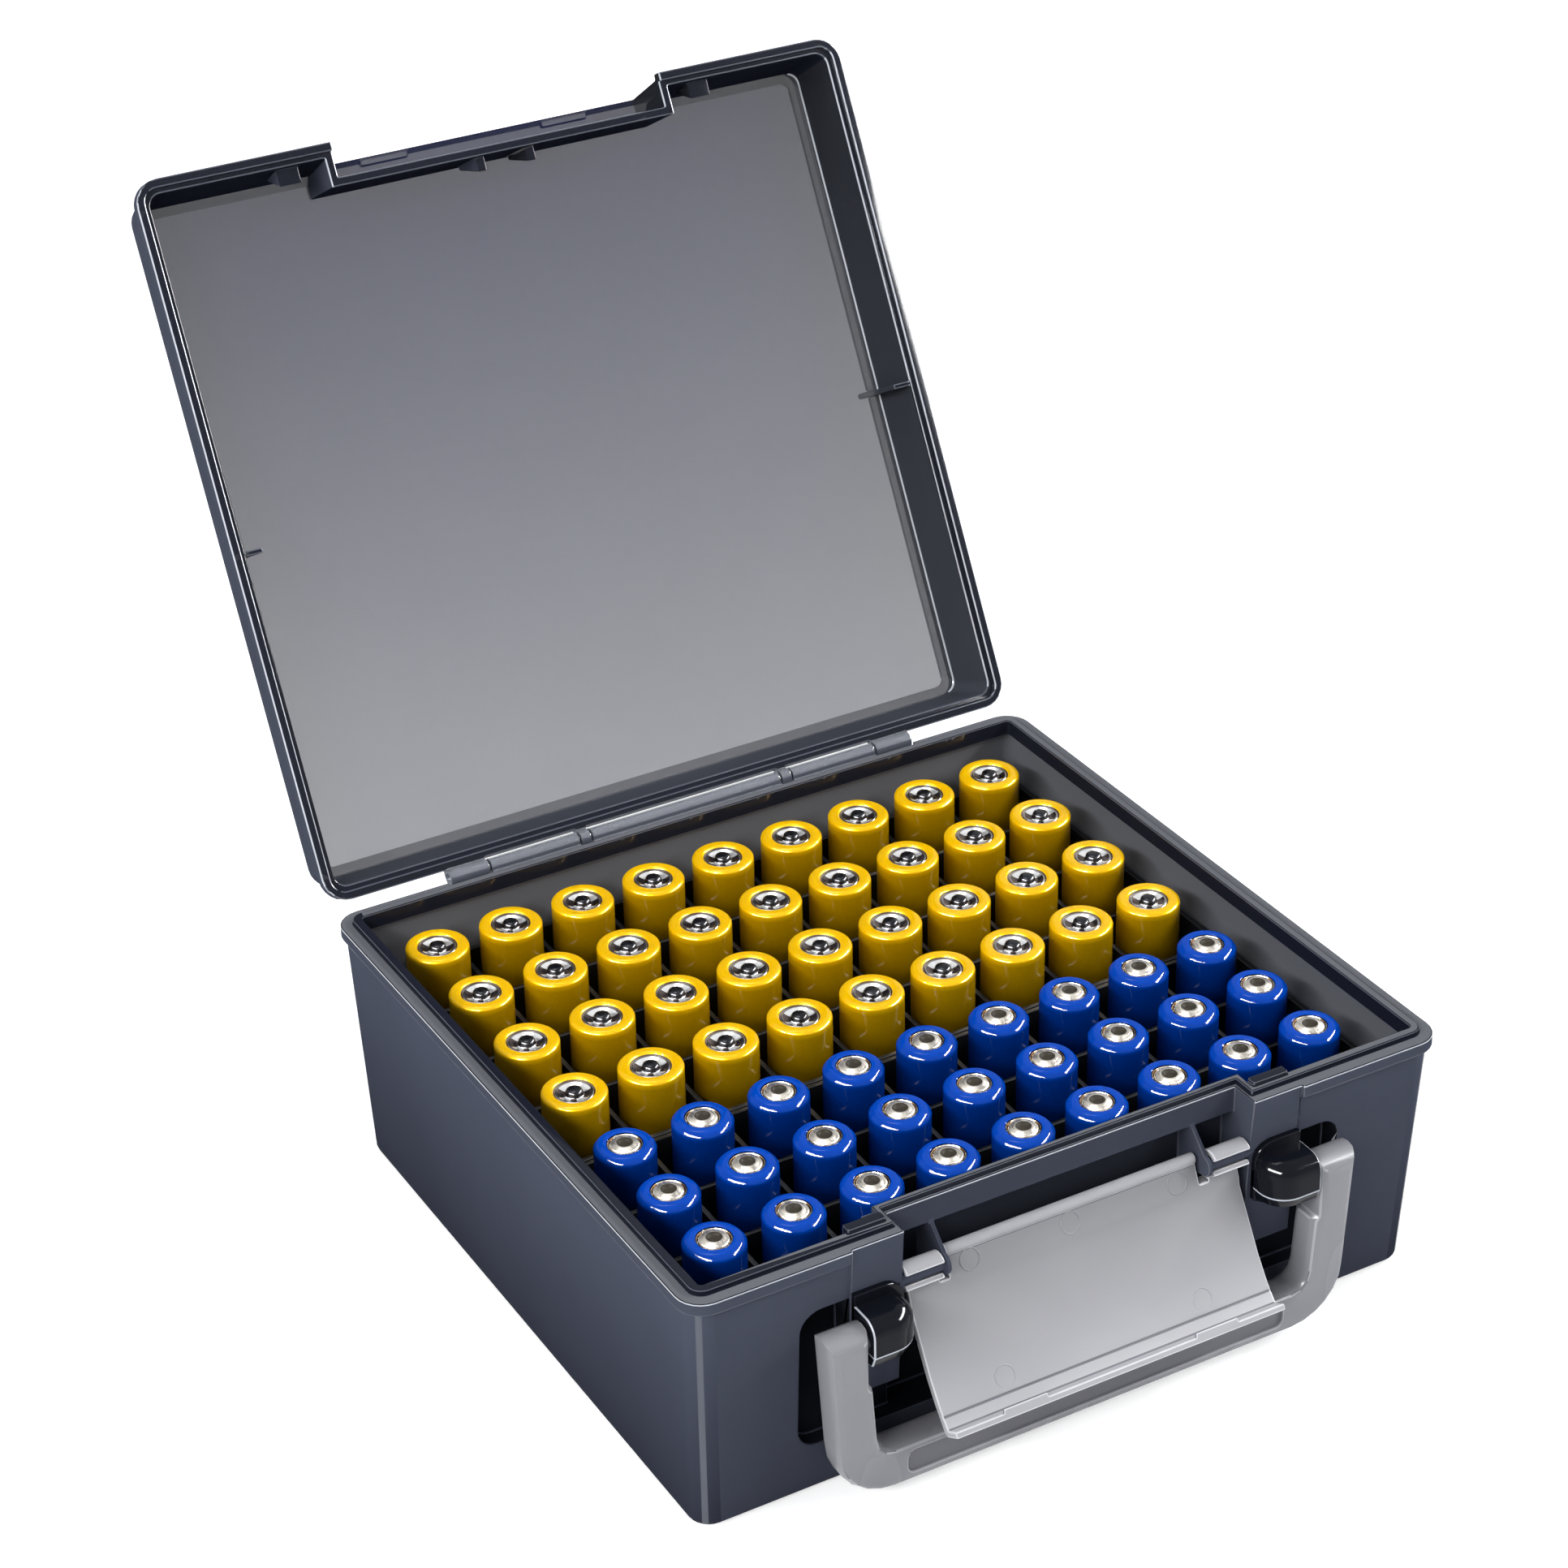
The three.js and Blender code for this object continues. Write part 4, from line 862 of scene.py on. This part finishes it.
def ejector_mark(place, normal, radius):
    """Fine round ridge that an ejector pin leaves, half sunk in the face that it lies on."""
    deselect()
    bpy.ops.mesh.primitive_torus_add(
        major_radius=radius,
        minor_radius=0.16 * MM,
        major_segments=40,
        minor_segments=8,
        location=place,
        rotation=Vector(normal).to_track_quat("Z", "Y").to_euler(),
    )
    mark = bpy.context.object
    bpy.ops.object.transform_apply(location=True, rotation=True, scale=True)
    bpy.ops.object.shade_smooth()
    return mark


def trace_top(profile, radius, z):
    """Insets and lifts the selected round face, from its radius and z through the profile's points."""
    for next_radius, next_z in profile:
        if abs(radius - next_radius) < 1e-7:
            bpy.ops.mesh.extrude_region_move(TRANSFORM_OT_translate={"value": (0, 0, next_z - z)})
        else:
            bpy.ops.mesh.inset(thickness=radius - next_radius, depth=0)
            bpy.ops.transform.translate(value=(0, 0, next_z - z))
        radius, z = next_radius, next_z


def turned_cell(name, centre, radius, low, shoulder, profile, sides):
    """A cell: a cylinder whose top is traced inwards by insets along a profile of (radius, z)."""
    deselect()
    height = shoulder - low
    bpy.ops.mesh.primitive_cylinder_add(
        vertices=sides, radius=radius, depth=height, location=(centre[0], centre[1], low + height / 2)
    )
    piece = bpy.context.object
    piece.name = piece.data.name = name
    mesh = edit(piece, "FACE")
    pick_faces(mesh, piece, lambda centre, normal: normal.z > 0.9)
    trace_top(profile, radius, shoulder)
    leave_edit(piece)
    bpy.ops.object.transform_apply(location=True, rotation=True, scale=True)
    smooth(piece, 50)
    return piece


def sleeve_painted_shade(top):
    """Painted shade on a sleeve: darker over its shoulder, and down its side towards the tray."""
    shoulder = ("Z", top - 2.4 * MM, top - 0.9 * MM, 0.5, 1.0)
    side = ("Z", top - 11 * MM, top - 2.4 * MM, 0.4, 1.0)
    return shoulder, side


def moved_copy(piece, name, offset):
    """A copy of a finished cell, with its own mesh, moved by an offset."""
    select_only(piece)
    bpy.ops.object.duplicate(linked=False)
    copy = bpy.context.object
    copy.name = copy.data.name = name
    copy.location = offset
    bpy.ops.object.transform_apply(location=True, rotation=False, scale=False)
    return copy


class BATTERYBOX_OT_yellow_cells(bpy.types.Operator):
    """Yellow cells: sleeve, recess and plated contact"""

    bl_idname = "battery_box.yellow_cells"
    bl_label = "Yellow cells"

    def execute(self, context):
        settings = context.scene.battery_box.cells
        low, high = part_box("yellow_cell_r1_c1")
        x, y = (low[0] + high[0]) / 2, (low[1] + high[1]) / 2
        top = high[2]
        cap_height, sleeve_end, cup_edge = 3 * MM, 4.55 * MM, 4.4 * MM
        ring_inner, stem_reflection_outer, nub_foot = 3.6 * MM, 2.9 * MM, 2.05 * MM
        steps = [
            (7.17, -1.1), (7.08, -0.9), (6.93, -0.73), (6.72, -0.58), (6.45, -0.47), (6.1, -0.41),
            (5.4, -0.39), (4.95, -0.46), (4.68, -0.6), (4.52, -0.85), (4.46, -1.15), (4.36, -1.2),
            (4.2, -0.98), (3.95, -0.9), (3.7, -0.98), (3.4, -1.14), (3.0, -1.32), (2.5, -1.46),
            (2.25, -1.48), (2.02, -1.36), (1.92, -1.1), (1.86, -0.7), (1.72, -0.38), (1.4, -0.14),
            (0.9, -0.04), (0.3, -0.01),
        ]
        profile = [(r * MM, top + z * MM) for r, z in steps]
        shoulder = top - 1.35 * MM
        first = turned_cell(
            "yellow_cell_made_r1_c1", (x, y), YELLOW_RADIUS, low[2], shoulder, profile, settings.sides
        )
        yellow = sleeve("yellow_pearl", settings.yellow, 0.1, 0.3, 0.4, *sleeve_painted_shade(top))
        seam = moulded("sleeve_edge", linear(60, 38, 8), 0.4)
        bright = plated("contact_plate", settings.metal, 0.07, 0.55)
        ring = plated("contact_ring", linear(150, 144, 140), 0.14)
        # Painted reflections: dark sectors and a dark nub, for what the plated cup mirrors.
        dark = plated("contact_dark_reflection", linear(78, 68, 64), 0.2)
        nub = plated("contact_nub", linear(46, 46, 48), 0.22)

        def choose(centre, normal, edge):
            radius = math.hypot(centre.x - x, centre.y - y)
            if centre.z < top - cap_height or radius > sleeve_end:
                return yellow
            if radius > cup_edge:
                return seam
            if radius > ring_inner:
                return ring
            if radius < nub_foot:
                return nub
            # Painted reflections laid round the camera's bearing: dark at both sides and in a narrow streak
            # towards the camera.
            turn = math.degrees(math.atan2(centre.y - y, centre.x - x) - CAMERA_TURN)
            turn = (turn + 180) % 360 - 180
            in_side_reflection = 62 < abs(turn) < 112
            in_stem_reflection = abs(turn) < 14 or (radius > stem_reflection_outer and 22 < abs(turn) < 34)
            return dark if in_side_reflection or in_stem_reflection else bright

        assign(first, [yellow, seam, bright, ring, dark, nub], choose)
        made = {(1, 1): first}
        for row in range(1, 5):
            for column in range(1, 10):
                if (row, column) != (1, 1):
                    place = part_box(f"yellow_cell_r{row}_c{column}")[0]
                    offset = [b - a for a, b in zip(low, place)]
                    made[row, column] = moved_copy(first, f"yellow_cell_made_r{row}_c{column}", offset)
        for (row, column), piece in made.items():
            finish_piece(piece, "case", "yellow_skin", f"yellow_cell_r{row}_c{column}")
        return {"FINISHED"}


class BATTERYBOX_OT_blue_cells(bpy.types.Operator):
    """Blue cells: glossy sleeve and silver button"""

    bl_idname = "battery_box.blue_cells"
    bl_label = "Blue cells"

    def execute(self, context):
        settings = context.scene.battery_box.cells
        low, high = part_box("blue_cells_c1")
        x = (low[0] + high[0]) / 2
        back = high[1] - BLUE_RADIUS
        pitch = (high[1] - low[1] - 2 * BLUE_RADIUS) / 2
        top = high[2]
        cap_height, sleeve_end, gap_inner = 3 * MM, 4.0 * MM, 3.6 * MM
        notch_inner, dimple_radius = 3.3 * MM, 1.78 * MM
        steps = [
            (7.12, -1.52), (6.96, -1.26), (6.74, -0.96), (6.48, -0.68), (6.2, -0.44), (5.85, -0.29),
            (5.2, -0.22), (4.7, -0.27), (4.38, -0.42), (4.18, -0.62), (4.06, -0.95), (4.02, -1.7),
            (3.84, -1.75), (3.76, -1.1), (3.72, -0.72), (3.62, -0.5), (3.42, -0.38), (3.05, -0.32),
            (2.85, -0.22), (2.6, -0.1), (2.25, -0.04), (2.0, -0.1), (1.82, -0.28), (1.7, -0.5),
            (1.4, -0.6), (0.9, -0.62), (0.4, -0.6),
        ]
        profile = [(r * MM, top + z * MM) for r, z in steps]
        shoulder = top - 1.75 * MM
        first = turned_cell(
            "blue_cell_made_r1_c1", (x, back), BLUE_RADIUS, low[2], shoulder, profile, settings.sides
        )
        blue = sleeve("blue_gloss", settings.blue, 0.0, 0.3, 0.25, *sleeve_painted_shade(top))
        metal = plated("button_plate", linear(176, 170, 160), 0.26, 0.85)
        dimple = moulded("button_dimple", linear(62, 58, 50), 0.5, specular=0.03)
        # Painted shade: the groove round the button is dark blue.
        gap = moulded("button_gap", linear(4, 10, 40), 0.4, specular=0.0)
        # Painted shade: three dark sectors for notches in the button, which the shape doesn't cut.
        notch = plated("button_notch", linear(104, 84, 62), 0.35)

        def choose(centre, normal, edge):
            radius = math.hypot(centre.x - x, centre.y - back)
            if centre.z < top - cap_height or radius > sleeve_end:
                return blue
            if radius < dimple_radius:
                return dimple
            # The groove round the button takes the painted shade.
            if radius > gap_inner:
                return gap
            # The dark sectors lie towards the camera and at 120 degrees either side of it.
            turn = math.degrees(math.atan2(centre.y - back, centre.x - x) - CAMERA_TURN)
            notched = abs((turn + 60) % 120 - 60) < 15 and radius > notch_inner
            return notch if notched else metal

        assign(first, [blue, metal, dimple, notch, gap], choose)
        made = {(1, 1): first}
        for row in range(1, 4):
            for column in range(1, 10):
                if (row, column) != (1, 1):
                    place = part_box(f"blue_cells_c{column}")[0]
                    offset = (place[0] - low[0], -(row - 1) * pitch, 0)
                    made[row, column] = moved_copy(first, f"blue_cell_made_r{row}_c{column}", offset)
        for (row, column), piece in made.items():
            finish_piece(piece, "case", "blue_skin", f"blue_cells_c{column}")
        return {"FINISHED"}


def area_lamp(name, place, target, size, power, mirrored_only=False):
    """An area lamp that faces the target. One that is only mirrored adds gloss and no light."""
    deselect()
    bpy.ops.object.light_add(type="AREA", location=place)
    lamp = bpy.context.object
    lamp.name = name
    lamp.data.shape = "RECTANGLE"
    lamp.data.size, lamp.data.size_y = size
    lamp.data.energy = power
    lamp.visible_diffuse = not mirrored_only
    lamp.rotation_euler = (Vector(target) - Vector(place)).to_track_quat("-Z", "Y").to_euler()


def backdrop_rays(nodes, links):
    """1 where a camera, mirror or glass ray looks, so that the backdrop is white to them alone."""
    path = nodes.new("ShaderNodeLightPath")
    seen = path.outputs["Is Camera Ray"]
    for kind in ("Is Glossy Ray", "Is Transmission Ray"):
        either = nodes.new("ShaderNodeMath")
        either.operation = "MAXIMUM"
        links.new(seen, either.inputs[0])
        links.new(path.outputs[kind], either.inputs[1])
        seen = either.outputs["Value"]
    return seen


class BATTERYBOX_OT_stage(bpy.types.Operator):
    """Stage: pale floor, soft lamps and the camera"""

    bl_idname = "battery_box.stage"
    bl_label = "Stage"

    def execute(self, context):
        settings = context.scene.battery_box.stage
        deselect()
        bpy.ops.mesh.primitive_circle_add(vertices=64, radius=8, fill_type="NGON", location=(0, 0, 0))
        floor = context.object
        floor.name = "floor"
        material, nodes, links, bsdf = new_material("floor_white")
        bsdf.inputs["Base Color"].default_value = (0.9, 0.9, 0.9, 1)
        bsdf.inputs["Roughness"].default_value = 0.9
        bsdf.inputs["Specular IOR Level"].default_value = 0.1
        # The floor glows to the camera alone, and more with distance, so that it stays white
        seen = backdrop_rays(nodes, links)
        coordinates = nodes.new("ShaderNodeTexCoord")
        distance = nodes.new("ShaderNodeVectorMath")
        distance.operation = "LENGTH"
        links.new(coordinates.outputs["Object"], distance.inputs[0])
        far = nodes.new("ShaderNodeMapRange")
        far.inputs["From Min"].default_value = 0.4
        far.inputs["From Max"].default_value = 1.4
        far.inputs["To Min"].default_value = 0.5
        far.inputs["To Max"].default_value = 0.85
        links.new(distance.outputs["Value"], far.inputs["Value"])
        glow = nodes.new("ShaderNodeMath")
        glow.operation = "MULTIPLY"
        links.new(seen, glow.inputs[0])
        links.new(far.outputs["Result"], glow.inputs[1])
        bsdf.inputs["Emission Color"].default_value = (1, 1, 1, 1)
        links.new(glow.outputs["Value"], bsdf.inputs["Emission Strength"])
        floor.data.materials.append(material)

        world = bpy.data.worlds.new("soft_studio")
        context.scene.world = world
        world.use_nodes = True
        tree = world.node_tree
        background = tree.nodes["Background"]
        background.inputs["Color"].default_value = (0.93, 0.96, 1.0, 1)
        seen = backdrop_rays(tree.nodes, tree.links)
        mix = tree.nodes.new("ShaderNodeMapRange")
        mix.inputs["To Min"].default_value = 0.22
        mix.inputs["To Max"].default_value = 1.0
        tree.links.new(seen, mix.inputs["Value"])
        tree.links.new(mix.outputs["Result"], background.inputs["Strength"])

        area_lamp("left_strip", (-1.05, -0.38, 0.78), (0, 0, 0.05), (1.4, 0.13), settings.key)
        area_lamp("right_strip", (1.1, -0.4, 0.78), (0, 0, 0.05), (1.4, 0.13), settings.fill)
        area_lamp("left_gloss", (-1.07, -0.38, 0.79), (0, 0, 0.05), (1.4, 0.26), settings.gloss * 1.4, True)
        area_lamp("right_gloss", (1.12, -0.4, 0.79), (0, 0, 0.05), (1.4, 0.26), settings.gloss, True)
        area_lamp("top_box", (-0.1, 0.35, 1.4), (0, 0, 0.05), (0.7, 0.4), settings.back)

        deselect()
        bpy.ops.object.camera_add(
            location=(-0.36116, -0.60947, 0.51689),
            rotation=[math.radians(angle) for angle in (60.022, 1.1634, -29.8547)],
        )
        camera = context.object
        camera.data.lens = settings.lens
        camera.data.sensor_width = 36
        camera.data.clip_start = 0.01
        context.scene.camera = camera
        context.scene.view_settings.view_transform = "Standard"
        deselect()
        return {"FINISHED"}


class BATTERYBOX_PT_panel(bpy.types.Panel):
    """Lists the pieces of the battery box and their settings"""

    bl_idname = "BATTERYBOX_PT_panel"
    bl_label = "Battery Box"
    bl_space_type = "VIEW_3D"
    bl_region_type = "UI"
    bl_category = "Battery Box"

    def draw(self, context):
        settings = context.scene.battery_box
        for operator in OPERATORS:
            self.layout.operator(operator.bl_idname)
        for name in ("smoke", "grey", "black", "cells", "stage"):
            group = getattr(settings, name)
            column = self.layout.box().column()
            column.label(text=name.capitalize())
            for key in group.bl_rna.properties.keys():
                if key not in ("rna_type", "name"):
                    column.prop(group, key)


OPERATORS = (
    BATTERYBOX_OT_case,
    BATTERYBOX_OT_lid,
    BATTERYBOX_OT_hinge_pin,
    BATTERYBOX_OT_trays,
    BATTERYBOX_OT_brackets,
    BATTERYBOX_OT_handle,
    BATTERYBOX_OT_latch,
    BATTERYBOX_OT_yellow_cells,
    BATTERYBOX_OT_blue_cells,
    BATTERYBOX_OT_stage,
)
GROUPS = (SmokeSettings, GreySettings, BlackSettings, CellSettings, StageSettings, BatteryBoxSettings)


def register():
    for group in GROUPS:
        bpy.utils.register_class(group)
    for operator in OPERATORS:
        bpy.utils.register_class(operator)
    bpy.utils.register_class(BATTERYBOX_PT_panel)
    bpy.types.Scene.battery_box = PointerProperty(type=BatteryBoxSettings)


def unregister():
    del bpy.types.Scene.battery_box
    bpy.utils.unregister_class(BATTERYBOX_PT_panel)
    for operator in reversed(OPERATORS):
        bpy.utils.unregister_class(operator)
    for group in reversed(GROUPS):
        bpy.utils.unregister_class(group)


def main():
    register()
    bpy.ops.battery_box.case()
    bpy.ops.battery_box.lid()
    bpy.ops.battery_box.hinge_pin()
    bpy.ops.battery_box.trays()
    bpy.ops.battery_box.brackets()
    bpy.ops.battery_box.handle()
    bpy.ops.battery_box.latch()
    bpy.ops.battery_box.yellow_cells()
    bpy.ops.battery_box.blue_cells()
    bpy.ops.battery_box.stage()


if __name__ == "__main__":
    main()
